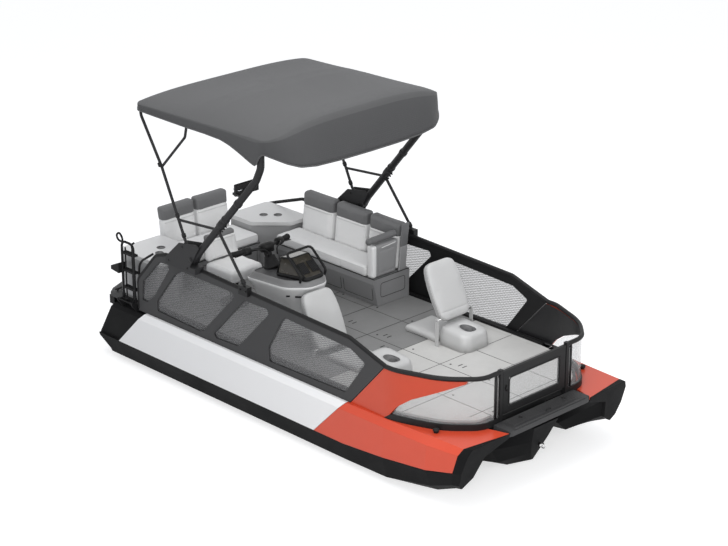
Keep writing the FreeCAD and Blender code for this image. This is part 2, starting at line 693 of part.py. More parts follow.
def bow_rail(side):
    low = SIZE["ledge_height"]
    top = SIZE["bow_rail_height"]
    upper = corner_path(side, top)
    upper[0] = (1652, SIZE["fence_plane"] * side, top)
    rail = tube(upper, SIZE["rail_radius"], 700)
    wall = bow_wall(side, SIZE["fence_thick"], low, low + 60)
    sill = wall.common(prism_xz([(1645, low), (2600, low), (2600, low + 60), (1735, low + 60),
                                 (1700, low + 40)], -HALF, HALF))
    post = SIZE["gate_post"]
    inner = SIZE["gate_half"] + SIZE["gate_gap"]
    y = inner if side > 0 else -inner - post
    pillar = Part.makeBox(post, post, top + SIZE["rail_radius"] - low,
                          Vector(SIZE["gate_plane"] - post / 2, y, low))
    bow = rail.multiFuse([sill, pillar])
    if side > 0:
        x = SIZE["gate_plane"] - SIZE["gate_thick"] / 2 - SIZE["hinge_back"]
        axis_y = SIZE["gate_half"] - SIZE["hinge_in"]
        for z in (SIZE["gate_low"] + 40, SIZE["bow_rail_height"] - 100):
            knuckle = Part.makeCylinder(5.5, 12, Vector(x, axis_y, z - 12.3))
            arm = Part.makeBox(11, inner + 4 - axis_y, 12, Vector(x - 5.5, axis_y, z - 12.3))
            plate = Part.makeBox(18, 14, 30, Vector(x - 5.5, inner + 2, z - 21.3))
            bow = bow.multiFuse([knuckle, arm, plate])
            bow = bow.cut(Part.makeCylinder(3.05, 14, Vector(x, axis_y, z - 13.3)))
    return bow


shaped("bow_rails", Part.makeCompound([bow_rail(side) for side in SIDES.values()]))
shaped("corner_panels", Part.makeCompound([corner_panel(side) for side in SIDES.values()]))
shaped("bow_windows", Part.makeCompound([bow_window(side) for side in SIDES.values()]))

# The bow gate: one leaf with a clear window, hung on pins at its port edge, opening inward.
leaf = box("gate_leaf", ("gate_plane - gate_thick/2", "-gate_half", "gate_low"),
           ("gate_thick", "2*gate_half", "bow_rail_height - gate_low"))
hole = box("gate_hole", ("gate_plane - gate_thick", "-gate_half + 75", "gate_low + 62"),
           ("2*gate_thick", "2*gate_half - 150", "bow_rail_height - gate_low - 145"))
frame = cut("gate_frame", leaf, hole)
pins = []
for number, height in enumerate(("gate_low + 40", "bow_rail_height - 100")):
    at = ("gate_plane - gate_thick/2 - hinge_back", "gate_half - hinge_in")
    pins.append(rod(f"gate_barrel_{number}", at + (height,), "7", "60"))
    pins.append(rod(f"gate_pin_{number}", at + (height + " - 12",), "3", "20"))
fused("bow_gate", [frame] + pins)
box("gate_window", ("gate_plane - window_thick/2", "-gate_half + 75", "gate_low + 62"),
    ("window_thick", "2*gate_half - 150", "bow_rail_height - gate_low - 145"))


# The helm: a moulded console that narrows to its nose, the display pod with its grab bar, and a
# handlebar on a leaning column.
def console():
    aft = -SIZE["console_aft"]
    nose = SIZE["console_nose"]
    half = SIZE["console_half"]
    top = SIZE["console_top"]
    rise = SIZE["console_rise"]
    y = -SIZE["helm_side"]
    deck = SIZE["deck_height"]

    def ring(z, grow, lean=0.0):
        plan = [(aft - grow + 110, -half - grow + 60), (aft - grow + 110, half + grow - 60),
                (nose - 330 + grow, half + grow - 60), (nose - 130 + grow, 90),
                (nose - 130 + grow, -90), (nose - 330 + grow, -half - grow + 60)]
        return [(px, y + py, z + lean * (px - aft) / (nose - aft)) for px, py in plan]

    return ruled([ring(deck, -30), ring(deck + 330, 0), ring(top - 70, 70, rise), ring(top, 60, rise)])


console_cup = Part.makeCylinder(SIZE["cup_radius"], 200,
                                Vector(-SIZE["console_aft"] + 130, -SIZE["helm_side"] + 170,
                                       SIZE["console_top"] - SIZE["cup_depth"]))
shaped("console", console().cut(console_cup))

column_axis = (-math.sin(math.radians(SIZE["column_lean"])), 0, math.cos(math.radians(SIZE["column_lean"])))


def on_column(distance):
    """A point on the steering axis, counted down from the middle of the handlebar."""
    return Vector(-SIZE["handle_aft"], -SIZE["helm_side"], SIZE["handle_height"]) \
        - Vector(*column_axis) * distance


shaped("steering_column", Part.makeCylinder(46, 150, on_column(235), Vector(*column_axis))
       .cut(console()))


def handlebar():
    middle = on_column(0)
    axis = Vector(*column_axis)
    hub = Part.makeCylinder(40, 84, on_column(84.5), axis)
    stem = Part.makeBox(90, 110, 60, Vector(middle.x - 30, middle.y - 55, middle.z - 30))
    half = SIZE["handle_half"]
    bar = tube([(middle.x - 110, middle.y - half, middle.z - 12), (middle.x - 10, middle.y - 120, middle.z + 12),
                (middle.x + 20, middle.y, middle.z + 12), (middle.x - 10, middle.y + 120, middle.z + 12),
                (middle.x - 110, middle.y + half, middle.z - 12)], 15, 60)
    return hub.multiFuse([stem, bar])


shaped("handlebar", handlebar())


def display_pod():
    y = -SIZE["helm_side"]
    nose = SIZE["console_nose"]
    base = SIZE["console_top"] + 25
    low = [(nose - 500, y - 150, base), (nose - 500, y + 150, base),
           (nose - 110, y + 110, base + 35), (nose - 110, y - 110, base + 35)]
    high = [(nose - 470, y - 130, base + 190), (nose - 470, y + 130, base + 190),
            (nose - 330, y + 115, base + 210), (nose - 330, y - 115, base + 210)]
    return rounded(ruled([low, high]), 12).cut(console())


shaped("display_pod", display_pod())


def grab_bar():
    y = -SIZE["helm_side"]
    nose = SIZE["console_nose"]
    base = SIZE["console_top"] + 40
    path = [(nose - 150, y - 165, base), (nose - 130, y - 165, base + 60), (nose - 350, y - 165, base + 250),
            (nose - 350, y + 165, base + 250), (nose - 130, y + 165, base + 60), (nose - 150, y + 165, base)]
    return tube(path, 13, 45).cut(console())


shaped("grab_bar", grab_bar())

pedestal_foot = rod("helm_foot", ("-helm_seat_aft", "-helm_side", "deck_height"), "150", "25")
pedestal_post = rod("helm_post", ("-helm_seat_aft", "-helm_side", "deck_height"), "45",
                    "helm_seat_top - 144.3 - deck_height")
fused("helm_pedestal", [pedestal_foot, pedestal_post])


def cushion(low, high, radius):
    """A soft block with rounded edges, from its low and high corners."""
    block = Part.makeBox(high[0] - low[0], high[1] - low[1], high[2] - low[2], Vector(*low))
    return rounded(block, radius)


def helm_seat():
    x = -SIZE["helm_seat_aft"]
    y = -SIZE["helm_side"]
    half = SIZE["helm_seat_half"]
    top = SIZE["helm_seat_top"]
    pan = cushion((x - 220, y - half, top - 144), (x + 235, y + half, top), 38)
    low = [(x - 230, y - half + 10, top - 60), (x - 130, y - half + 10, top - 60),
           (x - 130, y + half - 10, top - 60), (x - 230, y + half - 10, top - 60)]
    lean = 60
    high = [(px - lean, py, SIZE["helm_back_top"]) for px, py, pz in low]
    return pan.fuse(rounded(ruled([low, high]), 30)).removeSplitter()


shaped("helm_seat", helm_seat())


# The sofa along the port side: a dark moulded base, one long cushion, three leaning backs and an
# armrest at its front end.
def sofa_base():
    front = SIZE["sofa_front"]
    back = SIZE["sofa_back"]
    deck = SIZE["deck_height"]
    top = SIZE["seat_height"]
    top += SIZE["seat_lift"]
    outline = [(front + 60, deck), (back, deck), (back, top), (front + 10, top), (front, top - 60)]
    face = polygon([(-SIZE["sofa_aft"], y, z) for y, z in outline])
    return face.extrude(Vector(SIZE["sofa_aft"] - SIZE["sofa_fore"], 0, 0))


shaped("sofa_base", sofa_base())
low = SIZE["seat_height"] + SIZE["seat_lift"] + SIZE["rest"]
shaped("sofa_cushion",
       cushion((-SIZE["sofa_aft"], SIZE["sofa_front"] - 30, low),
               (-SIZE["sofa_fore"] - SIZE["arm_thick"] - SIZE["rest"],
                SIZE["sofa_back"] - SIZE["back_thick"] - 60, low + SIZE["cushion_tall"]), 30))


def leaning_back(low_edge, across, top, lean):
    """A seat back as a leaning block. across is the unit step from its face to its rear."""
    (x0, y0, z0), (x1, y1, z1) = low_edge
    ax, ay = across[0] * SIZE["back_thick"], across[1] * SIZE["back_thick"]
    lx, ly = across[0] * lean, across[1] * lean
    base = [(x0, y0, z0), (x1, y1, z1), (x1 + ax, y1 + ay, z1), (x0 + ax, y0 + ay, z0)]
    crown = [(x + lx, y + ly, top) for x, y, z in base]
    return rounded(ruled([base, crown]), 26)


def sofa_backs():
    first = -SIZE["sofa_aft"]
    last = -SIZE["sofa_fore"] + 20
    step = (last - first) / 3
    face = SIZE["sofa_back"] - SIZE["back_thick"] - SIZE["back_gap"]
    z = SIZE["seat_height"] + SIZE["seat_lift"] + SIZE["rest"]
    backs = []
    for number in range(3):
        x = first + number * step + SIZE["seam"] / 2
        end = first + (number + 1) * step - SIZE["seam"] / 2
        backs.append(leaning_back([(x, face, z), (end, face, z)], (0, 1), SIZE["back_top"], SIZE["back_lean"]))
    return Part.makeCompound(backs)


def sofa_arm():
    """The sofa's end panel with the thick roll on top that serves as its armrest."""
    x = -SIZE["sofa_fore"] - SIZE["arm_thick"]
    deck = SIZE["seat_height"] + SIZE["seat_lift"] + SIZE["rest"]
    front = SIZE["sofa_front"]
    face = SIZE["sofa_back"] - SIZE["back_thick"] - SIZE["back_gap"] - SIZE["rest"]
    roll = SIZE["arm_roll"]
    top = SIZE["arm_top"]
    slope = SIZE["back_lean"] / (SIZE["back_top"] - deck)
    outline = [(front - 20, deck), (face, deck), (face + slope * (top - roll - deck), top - roll),
               (front + 60, top - roll), (front - 45, top - 190), (front - 40, deck + 60)]
    block = polygon([(x, y, z) for y, z in outline]).extrude(Vector(SIZE["arm_thick"], 0, 0))
    middle = x + SIZE["arm_thick"] / 2
    roll_end = face + slope * (top - 2 * roll - deck)
    roll_line = [(middle, front - 60, top - roll), (middle, (front + roll_end) / 2, top - roll + 5),
                 (middle, roll_end, top - roll + 10)]
    return block.fuse(tube(roll_line, roll, 400))


shaped("sofa_backs", sofa_backs())
shaped("sofa_arm", sofa_arm())

# The stern bench between the corner tables: base, cushion and two leaning backs.
box("bench_base", ("-bench_aft", "-bench_half", "deck_height"),
    ("bench_aft - bench_front", "2*bench_half", "seat_height - deck_height"))
bench_z = SIZE["seat_height"]
shaped("bench_cushion",
       cushion((-SIZE["bench_aft"] + SIZE["back_thick"] + 10, -SIZE["bench_half"], bench_z + SIZE["rest"]),
               (-SIZE["bench_front"] + 25, SIZE["bench_half"], bench_z + SIZE["rest"] + SIZE["cushion_tall"]), 30))
bench_backs = []
for low_y, high_y in ((-SIZE["bench_half"], -SIZE["seam"] / 2), (SIZE["seam"] / 2, SIZE["bench_half"])):
    x = -SIZE["bench_aft"] + SIZE["back_thick"]
    bench_backs.append(leaning_back([(x, high_y, bench_z + SIZE["rest"]), (x, low_y, bench_z + SIZE["rest"])], (-1, 0),
                                    SIZE["bench_back_top"], 55))
shaped("bench_backs", Part.makeCompound(bench_backs))


# The corner tables: white plates with two cup holders each, on moulded boxes with a cut corner.
def table_plan(side, back):
    front = -SIZE["table_front"] - back
    aft = -SIZE["table_aft"]
    inner = SIZE["table_inner"]
    corner = SIZE["table_corner"]
    plan = [(aft, inner), (front - corner, inner), (front, inner + corner), (front, SIZE["table_outer"]),
            (aft, SIZE["table_outer"])]
    return [(x, y * side) for x, y in plan]


def corner_table(side):
    front = -SIZE["table_front"]
    inner = SIZE["table_inner"]
    top = SIZE["table_top"]
    plate = top - SIZE["table_plate"]
    body = prism_xy(table_plan(side, 25), SIZE["deck_height"], plate)
    body = rounded(body, 60, along(2)).fuse(rounded(prism_xy(table_plan(side, 0), plate, top), 60, along(2)))
    for x, y in ((front - 385, inner + 245), (front - 275, inner + 355)):
        cup = Part.makeCylinder(SIZE["cup_radius"], SIZE["cup_depth"] + 10,
                                Vector(x, y * side, top - SIZE["cup_depth"]))
        body = body.cut(cup)
    return body


shaped("corner_tables", Part.makeCompound([corner_table(side) for side in SIDES.values()]))


# The bow loungers: a flat pad aft, a leaning back on a hinge, and a moulded block with a cup holder.
def lounger_block(side):
    y = SIZE["lounger_side"] * side
    half = SIZE["lounger_half"]
    deck = SIZE["deck_height"]
    top = SIZE["block_top"]
    low = [(SIZE["block_aft"], y - half, deck), (SIZE["block_front"] - 60, y - half, deck),
           (SIZE["block_front"], y - half + 60, deck), (SIZE["block_front"], y + half - 60, deck),
           (SIZE["block_front"] - 60, y + half, deck), (SIZE["block_aft"], y + half, deck)]
    long = SIZE["block_front"] - SIZE["block_aft"]
    high = [(px - 40 * (px - SIZE["block_aft"]) / long, y + (py - y) * 0.9,
             top - 35 * (px - SIZE["block_aft"]) / long) for px, py, pz in low]
    block = rounded(ruled([low, high]), 18, lambda e: e.BoundBox.ZMin > deck + 30)
    cup = Part.makeCylinder(SIZE["cup_radius"], 200,
                            Vector(SIZE["block_front"] - 135, y, top - 35 - SIZE["cup_depth"]))
    return block.cut(cup)


def lounger_pad(side):
    y = SIZE["lounger_side"] * side
    deck = SIZE["deck_height"]
    return cushion((SIZE["pad_aft"], y - 210, deck), (SIZE["block_aft"] - 8, y + 210,
                                                       deck + SIZE["pad_tall"]), 20)


def lounger_ears(side):
    """The two plates beside the foot of a lounger's back, which carry its hinge bar."""
    x, z = lounger_pivot(side)
    y = SIZE["lounger_side"] * side
    near = SIZE["lounger_back_half"] + SIZE["ear_gap"]
    deck = SIZE["deck_height"]
    ears = []
    for way in (-1, 1):
        low = y + (near if way > 0 else -near - SIZE["ear_thick"])
        plate = Part.makeBox(44, SIZE["ear_thick"], z - deck, Vector(x - 22, low, deck))
        head = Part.makeCylinder(22, SIZE["ear_thick"], Vector(x, low, z), Vector(0, 1, 0))
        bore = Part.makeCylinder(SIZE["hinge_bar"] + 0.05, 40, Vector(x, low - 10, z), Vector(0, 1, 0))
        ears.append(plate.fuse(head).cut(bore))
    return ears


def lounger_pivot(side):
    """Hinge of a lounger's back: on its block to port, on the deck behind its pad to starboard."""
    if side > 0:
        return SIZE["block_aft"] + SIZE["hinge_ahead"], SIZE["block_top"] + SIZE["hinge_rise"]
    return SIZE["pad_aft"] - SIZE["hinge_behind"], SIZE["deck_height"] + SIZE["hinge_rise"]


ears = [ear for side in SIDES.values() for ear in lounger_ears(side)]
shaped("lounger_blocks", Part.makeCompound([lounger_block(side) for side in SIDES.values()] + ears))
shaped("lounger_pads", Part.makeCompound([lounger_pad(side) for side in SIDES.values()]))


def lounger_back(side):
    y = SIZE["lounger_side"] * side
    half = SIZE["lounger_back_half"]
    thick = SIZE["lounger_back_thick"]
    long = SIZE["lounger_back"]
    low = -thick / 2
    outline = [(-0.9 * half, low), (0.9 * half, low), (half, 0.3 * long), (half * 0.98, 0.62 * long),
               (half * 0.8, long + low), (-half * 0.8, long + low), (-half * 0.98, 0.62 * long),
               (-half, 0.3 * long)]
    shape = polygon([(-thick / 2, y, z) for y, z in outline]).extrude(Vector(thick, 0, 0))
    shape = rounded(shape, 80, along(0))
    shape = rounded(shape, 22, lambda e: e.BoundBox.XLength < 1)
    lean = FreeCAD.Rotation(Vector(0, 1, 0), -SIZE["recline"])
    x, z = lounger_pivot(side)
    shape.Placement = FreeCAD.Placement(Vector(x, y, z), lean)
    reach = half + SIZE["ear_gap"] + SIZE["ear_thick"]
    bar = Part.makeCylinder(SIZE["hinge_bar"], 2 * reach, Vector(x, y - reach, z), Vector(0, 1, 0))
    return shape.fuse(bar)


for name, side in SIDES.items():
    shaped("lounger_back_" + name, lounger_back(side))


# The canopy: one taut fabric top on two bent main struts with thin rear legs, which tilts back on
# pins in the foot plates on the fences. Its side skirts drop to a tail beside each main strut.
CAMBER = ((-1, 0), (-0.96, 0.16), (-0.86, 0.42), (-0.5, 0.8), (0, 1), (0.5, 0.8), (0.86, 0.42), (0.96, 0.16),
          (1, 0))
CORNER = ((-1, 1), (-0.96, 0.5), (-0.86, 0.16), (-0.5, 0.0), (0, 0))
CANOPY_MID = -900


def canopy_top(x, rise):
    """Height of the canopy's upper face at a station, for one share of its camber."""
    aft = -SIZE["canopy_aft"]
    share = (x - aft) / (SIZE["canopy_crease"] - aft)
    edge = SIZE["canopy_edge_aft"]
    return edge + (SIZE["canopy_edge_fore"] - edge) * share + rise * min(1, 0.35 + share * 1.3)


def canopy_section(share):
    """Side view of the canopy at one station across it: aft edge, crown, front crease, lip."""
    rise = SIZE["canopy_crown"] * dict(CAMBER)[share]
    turn = dict(CORNER)[-abs(share)]
    aft = -SIZE["canopy_aft"] + 25 * turn
    crease = SIZE["canopy_crease"] - 130 * turn
    lip = SIZE["canopy_lip"] - 190 * turn
    low = SIZE["canopy_front_low"]
    low += (SIZE["canopy_corner_low"] - low) * turn
    return [(aft, SIZE["canopy_edge_aft"] - 45), (aft, canopy_top(aft, rise)),
            (CANOPY_MID, canopy_top(CANOPY_MID, rise)), (crease, canopy_top(crease, rise)), (lip, low)]


def canopy_under(x, y):
    """Height of the canopy's lower face over a point, between its ruled stations."""
    share = y / SIZE["canopy_half"]
    for (near, low), (far, high) in zip(CAMBER, CAMBER[1:]):
        if near <= share <= far:
            part = (share - near) / (far - near)
            heights = []
            for at in (near, far):
                line = canopy_section(at)[1:4]
                line = [(line[0][0] + SIZE["canopy_cloth"], line[0][1]), line[1],
                        (line[2][0] - SIZE["canopy_cloth"] * 0.6, line[2][1])]
                for (x0, z0), (x1, z1) in zip(line, line[1:]):
                    if x0 <= x <= x1 + 1e-6:
                        heights.append(z0 + (z1 - z0) * (x - x0) / (x1 - x0))
                        break
            return heights[0] + (heights[1] - heights[0]) * part - SIZE["canopy_cloth"]


def canopy_bow(x, radius, reach):
    """A cross tube that lies against the canopy's lower face."""
    between = [s * SIZE["canopy_half"] for s, rise in CAMBER if abs(s) < 0.9]
    marks = [-reach] + between + [reach]
    heights = [canopy_under(x, y) for y in marks]
    path = []
    for i, (y, z) in enumerate(zip(marks, heights)):
        slopes = [abs(heights[j + 1] - heights[j]) / (marks[j + 1] - marks[j])
                  for j in (i - 1, i) if 0 <= j < len(marks) - 1]
        path.append((x, y, z - radius * math.hypot(1, max(slopes)) - SIZE["rest"]))
    return path


def canopy_cover():
    half = SIZE["canopy_half"]
    cloth = SIZE["canopy_cloth"]
    sections = []
    for share, rise in CAMBER:
        outer = canopy_section(share)
        (aft, edge), (x1, z1), (x2, z2), (x3, z3), (lip, low) = outer
        inner = [(lip - cloth, low), (x3 - cloth * 0.6, z3 - cloth), (x2, z2 - cloth),
                 (aft + cloth, z1 - cloth), (aft + cloth, edge)]
        sections.append([(x, half * share, z) for x, z in outer + inner])
    cover = ruled(sections)
    aft, edge = canopy_section(1)[1]
    crease, fore = canopy_section(1)[3]
    lip, low = canopy_section(1)[4]
    skirt = edge - SIZE["canopy_skirt"]
    tail = SIZE["canopy_tail_low"]
    side_view = [(aft, skirt), (aft, edge - 2), (CANOPY_MID, canopy_top(CANOPY_MID, 0) - 2),
                 (crease, fore - 2), (lip, low), (0, low), (-60, tail + 40), (-130, tail), (-180, tail),
                 (-470, skirt), (-1070, skirt - 8)]
    sides = [prism_xz(side_view, half - cloth, half), prism_xz(side_view, -half, -half + cloth)]
    return cover.multiFuse(sides)


shaped("canopy_cover", canopy_cover())


def canopy_frame():
    radius = SIZE["strut_radius"]
    thin = SIZE["leg_radius"]
    foot_x = -SIZE["foot_aft"]
    foot_z = SIZE["foot_height"]
    inner = SIZE["canopy_half"] - SIZE["canopy_cloth"] - radius - SIZE["rest"]
    rear = SIZE["canopy_half"] - SIZE["canopy_cloth"] - thin - SIZE["rest"]
    front_x = SIZE["canopy_crease"] - 215
    fore_bow = canopy_bow(front_x, radius * 0.55, inner)
    mid_bow = canopy_bow(-1080, thin, rear)
    back_bow = canopy_bow(-1810, thin, rear)
    cloth = fore_bow[0][2]
    back = back_bow[0][2]
    parts = []
    for side in SIDES.values():
        plane = SIZE["strut_plane"]
        strut = tube(sided(side, [(foot_x, plane, foot_z), (-115, inner, 2515), (front_x, inner, 2660),
                                  (front_x, inner, cloth - radius)]), radius, 160)
        strut = strut.fuse(tube(sided(side, [(front_x, inner, cloth - radius - 10),
                                             (front_x, inner, cloth)]), radius * 0.55))
        boss = Part.makeCylinder(SIZE["boss_radius"], 2 * SIZE["boss_half"],
                                 Vector(foot_x, plane * side - SIZE["boss_half"], foot_z), Vector(0, 1, 0))
        leg = tube(sided(side, [(foot_x, plane, foot_z + 20), (-1150, plane - 10, 1640), (-1250, plane - 10, 1850),
                                (-1495, plane - 20, 2330), (-1810, rear, 2800), (-1810, rear, back)]), thin, 90)
        stay = tube(sided(side, [(-1495, plane - 20, 2330), (-1130, rear, 2720), (-1080, rear, mid_bow[0][2])]),
                    thin * 0.9, 60)
        link = tube(sided(side, [(-1245, plane - 10, 1840), (-680, plane - 10, 1890)]), thin * 0.9)
        brace = tube(sided(side, [(-600, plane - 18, 1960), (-650, plane - 14, 1890),
                                  (-SIZE["brace_aft"], plane - 10, SIZE["brace_height"])]), thin, 30)
        parts.append(strut.multiFuse([boss, leg, stay, link, brace]))
    bows = [tube(fore_bow, radius * 0.55, 900), tube(mid_bow, thin, 900), tube(back_bow, thin, 900)]
    frame = parts[0].multiFuse(parts[1:] + bows)
    pin = SIZE["pin_radius"] + SIZE["pin_fit"]
    for side in SIDES.values():
        bore = Part.makeCylinder(pin, 400, Vector(foot_x, SIZE["strut_plane"] * side - 200, foot_z),
                                 Vector(0, 1, 0))
        frame = frame.cut(bore)
    return frame


shaped("canopy_frame", canopy_frame())


def strut_foot(side):
    """A saddle on the rail with two cheeks and the pin that the canopy tilts on."""
    foot_x = -SIZE["foot_aft"]
    foot_z = SIZE["foot_height"]
    plane = SIZE["strut_plane"]
    reach = SIZE["boss_half"] + SIZE["pin_gap"]
    cheek = 8
    low = SIZE["fence_mid"]
    outline = [(foot_x - 400, low), (foot_x - 395, low + 75), (foot_x - 180, foot_z + 130),
               (foot_x + 90, foot_z + 175), (foot_x + 130, foot_z + 150), (foot_x - 20, low + 65),
               (foot_x + 60, low)]
    inner = prism_xz(outline, (plane - reach - cheek) * side, (plane - reach) * side)
    outer = prism_xz(outline, (plane + reach) * side, (plane + reach + cheek) * side)
    base = Part.makeBox(460, plane + reach + cheek - SIZE["fence_plane"] + 22, 60,
                        Vector(foot_x - 400, 0, low))
    y = SIZE["fence_plane"] - 22 if side > 0 else -(plane + reach + cheek)
    base.translate(Vector(0, y, 0))
    pin = Part.makeCylinder(SIZE["pin_radius"], 2 * (reach + cheek),
                            Vector(foot_x, plane * side - reach - cheek, foot_z), Vector(0, 1, 0))
    return inner.multiFuse([outer, base, pin]).cut(fence(side))


def rail_bracket(side):
    """The block on the rail that takes the foot of the canopy's front brace."""
    x = -SIZE["brace_aft"]
    z = SIZE["brace_height"]
    plane = SIZE["strut_plane"] - 10
    low = SIZE["fence_mid"] - 30
    y = plane if side > 0 else -plane
    top = z - SIZE["leg_radius"] * math.cos(math.atan2(465, 385)) - SIZE["rest"]
    block = Part.makeBox(130, 60, top - low, Vector(x - 65, y - 30, low))
    return block.cut(fence(side))


shaped("strut_feet", Part.makeCompound([strut_foot(side) for side in SIDES.values()]))
shaped("brace_brackets", Part.makeCompound([rail_bracket(side) for side in SIDES.values()]))

# The mirror on the starboard strut, its arm clamped round the tube.
mirror_plate = cushion((-420, -1130, 2290), (-390, -830, 2410), 8)
mirror_arm = Part.makeBox(150, 24, 24, Vector(-440, -1128, 2300))
shaped("mirror", mirror_plate.fuse(mirror_arm).cut(doc.getObject("canopy_frame").Shape))

# The stern handrail on the port quarter.
rail_side = SIZE["fence_plane"] - SIZE["rail_radius"] - 15 - SIZE["rest"]
shaped("stern_rails", tube([(-2480, rail_side, SIZE["platform_top"]), (-2480, rail_side, 1130),
                            (-2330, rail_side, 1190), (-1830, rail_side, 1360), (-1740, rail_side, 1320),
                            (-1740, rail_side, 1140)], 15, 90))


# The boarding ladder on the starboard quarter, stowed upright, which swings out over the side.
def ladder():
    x = -SIZE["ladder_aft"]
    half = SIZE["ladder_half"]
    y = -SIZE["ladder_pin"] + SIZE["ladder_offset"]
    low = SIZE["platform_top"] + 20
    top = low + SIZE["ladder_tall"]
    radius = SIZE["ladder_tube"]
    rails = [tube([(x - half, y, low), (x - half, y, top), (x + half, y, top), (x + half, y, low)],
                  radius, 60)]
    for number in range(3):
        z = low + 120 + number * 190
        rails.append(Part.makeBox(2 * half, 60, 22, Vector(x - half, y - 5, z)))
    for at in (x - half, x + half):
        rails.append(Part.makeBox(16, SIZE["ladder_offset"] + 12, 22,
                                  Vector(at - 8, -SIZE["ladder_pin"] - 6, low)))
    tread = prism_xz([(x - half, low + 290), (x - half - 130, low + 305), (x - half - 130, low + 345),
                      (x - half, low + 400)], y - 55, y + 35)
    rails.append(tread)
    reach = half + SIZE["lug_gap"] + SIZE["lug_thick"] + 8
    rails.append(Part.makeCylinder(6, 2 * reach, Vector(x - reach, -SIZE["ladder_pin"], low + 8),
                                   Vector(1, 0, 0)))
    return rails[0].multiFuse(rails[1:])


shaped("boarding_ladder", ladder())


def ladder_lug(way):
    """A plate on the hull's shoulder that holds one end of the ladder's pin."""
    thick = SIZE["lug_thick"]
    edge = SIZE["ladder_half"] + 8 + SIZE["lug_gap"]
    x = -SIZE["ladder_aft"] + (edge if way > 0 else -edge - thick)
    foot = SIZE["ledge_height"] - SIZE["skin"]
    pin_z = SIZE["platform_top"] + 28
    pin_y = -SIZE["ladder_pin"]
    outline = [(pin_y + 110, foot), (pin_y + 50, foot), (pin_y - 10, pin_z - 14), (pin_y - 10, pin_z + 12),
               (pin_y + 14, pin_z + 12), (pin_y + 110, foot + 45)]
    plate = polygon([(x, y, z) for y, z in outline]).extrude(Vector(thick, 0, 0))
    return plate.cut(Part.makeCylinder(6.05, 60, Vector(x - 20, pin_y, pin_z), Vector(1, 0, 0)))


shaped("ladder_lugs", Part.makeCompound([ladder_lug(way) for way in (-1, 1)]))

# The jet drive at the stern of the centre hull: the pump housing, and the nozzle that steers.
def jet_x(distance, radius, long, axis=(1, 0, 0)):
    return Part.makeCylinder(radius, long, Vector(STERN + distance, 0, SIZE["jet_height"]), Vector(*axis))


nozzle_pivot = SIZE["nozzle_length"]
jet_face = nozzle_pivot + SIZE["nozzle_gap"] + 47
housing = jet_x(jet_face, SIZE["jet_radius"], SIZE["center_stern"] - jet_face)
tail = jet_x(nozzle_pivot - 12, 40, jet_face - nozzle_pivot + 20)
pump = housing.fuse(tail)
hinge_radius = SIZE["nozzle_radius"] + 2
for way in (-1, 1):
    low = SIZE["jet_height"] + (hinge_radius if way > 0 else -hinge_radius - 12)
    ear = Part.makeBox(jet_face - nozzle_pivot + 22, 34, 12, Vector(STERN + nozzle_pivot - 14, -17, low))
    pump = pump.fuse(ear)
    start = SIZE["jet_height"] + (hinge_radius + 12 if way > 0 else -hinge_radius - 12)
    pump = pump.fuse(Part.makeCylinder(6, 30, Vector(STERN + nozzle_pivot, 0, start), Vector(0, 0, -way)))
shaped("jet_pump", pump)

nozzle = Part.makeCone(62, SIZE["nozzle_radius"], SIZE["nozzle_length"],
                       Vector(STERN, 0, SIZE["jet_height"]), Vector(1, 0, 0))
nozzle = nozzle.fuse(jet_x(SIZE["nozzle_length"], SIZE["nozzle_radius"], 20))
nozzle = nozzle.cut(jet_x(-1, 46, SIZE["nozzle_length"] + 40))
nozzle = nozzle.cut(jet_x(SIZE["nozzle_length"] - 40, 58, 80))
bore = Part.makeCylinder(6.05, 400, Vector(STERN + nozzle_pivot, 0, SIZE["jet_height"] - 200))
shaped("steering_nozzle", nozzle.cut(bore))

NODES = [
    "sponsons", "side_panels", "bow_caps", "center_hull", "engine_block", "deck_frame",
    "deck_tiles_dark", "deck_tiles_light", "deck_tracks", "bow_step", "stern_platform",
    "fence_starboard", "fence_port", "fence_windows", "bow_rails", "corner_panels", "bow_windows",
    "bow_gate", "gate_window", "console", "steering_column", "handlebar", "display_pod", "grab_bar",
    "helm_pedestal", "helm_seat", "sofa_base", "sofa_cushion", "sofa_backs", "sofa_arm",
    "bench_base", "bench_cushion", "bench_backs", "corner_tables", "lounger_blocks", "lounger_pads",
    "lounger_back_starboard", "lounger_back_port", "canopy_cover", "canopy_frame", "strut_feet",
    "brace_brackets", "mirror", "stern_rails", "boarding_ladder", "ladder_lugs", "jet_pump",
    "steering_nozzle",
]

doc.recompute()
for thing in doc.Objects:
    if "Invalid" in thing.State or "Error" in thing.State:
        raise RuntimeError(f"{thing.Name} did not build: {thing.State}")

os.makedirs("parts", exist_ok=True)
for node in NODES:
    shape = doc.getObject(node).Shape
    if shape.isNull() or not shape.isValid() or shape.Volume <= 0:
        raise RuntimeError(f"{node} has no valid shape")
    shape.exportStep(f"parts/{node}.step")
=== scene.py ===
import math
import bpy
import bmesh
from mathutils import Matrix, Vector
from mathutils.bvhtree import BVHTree


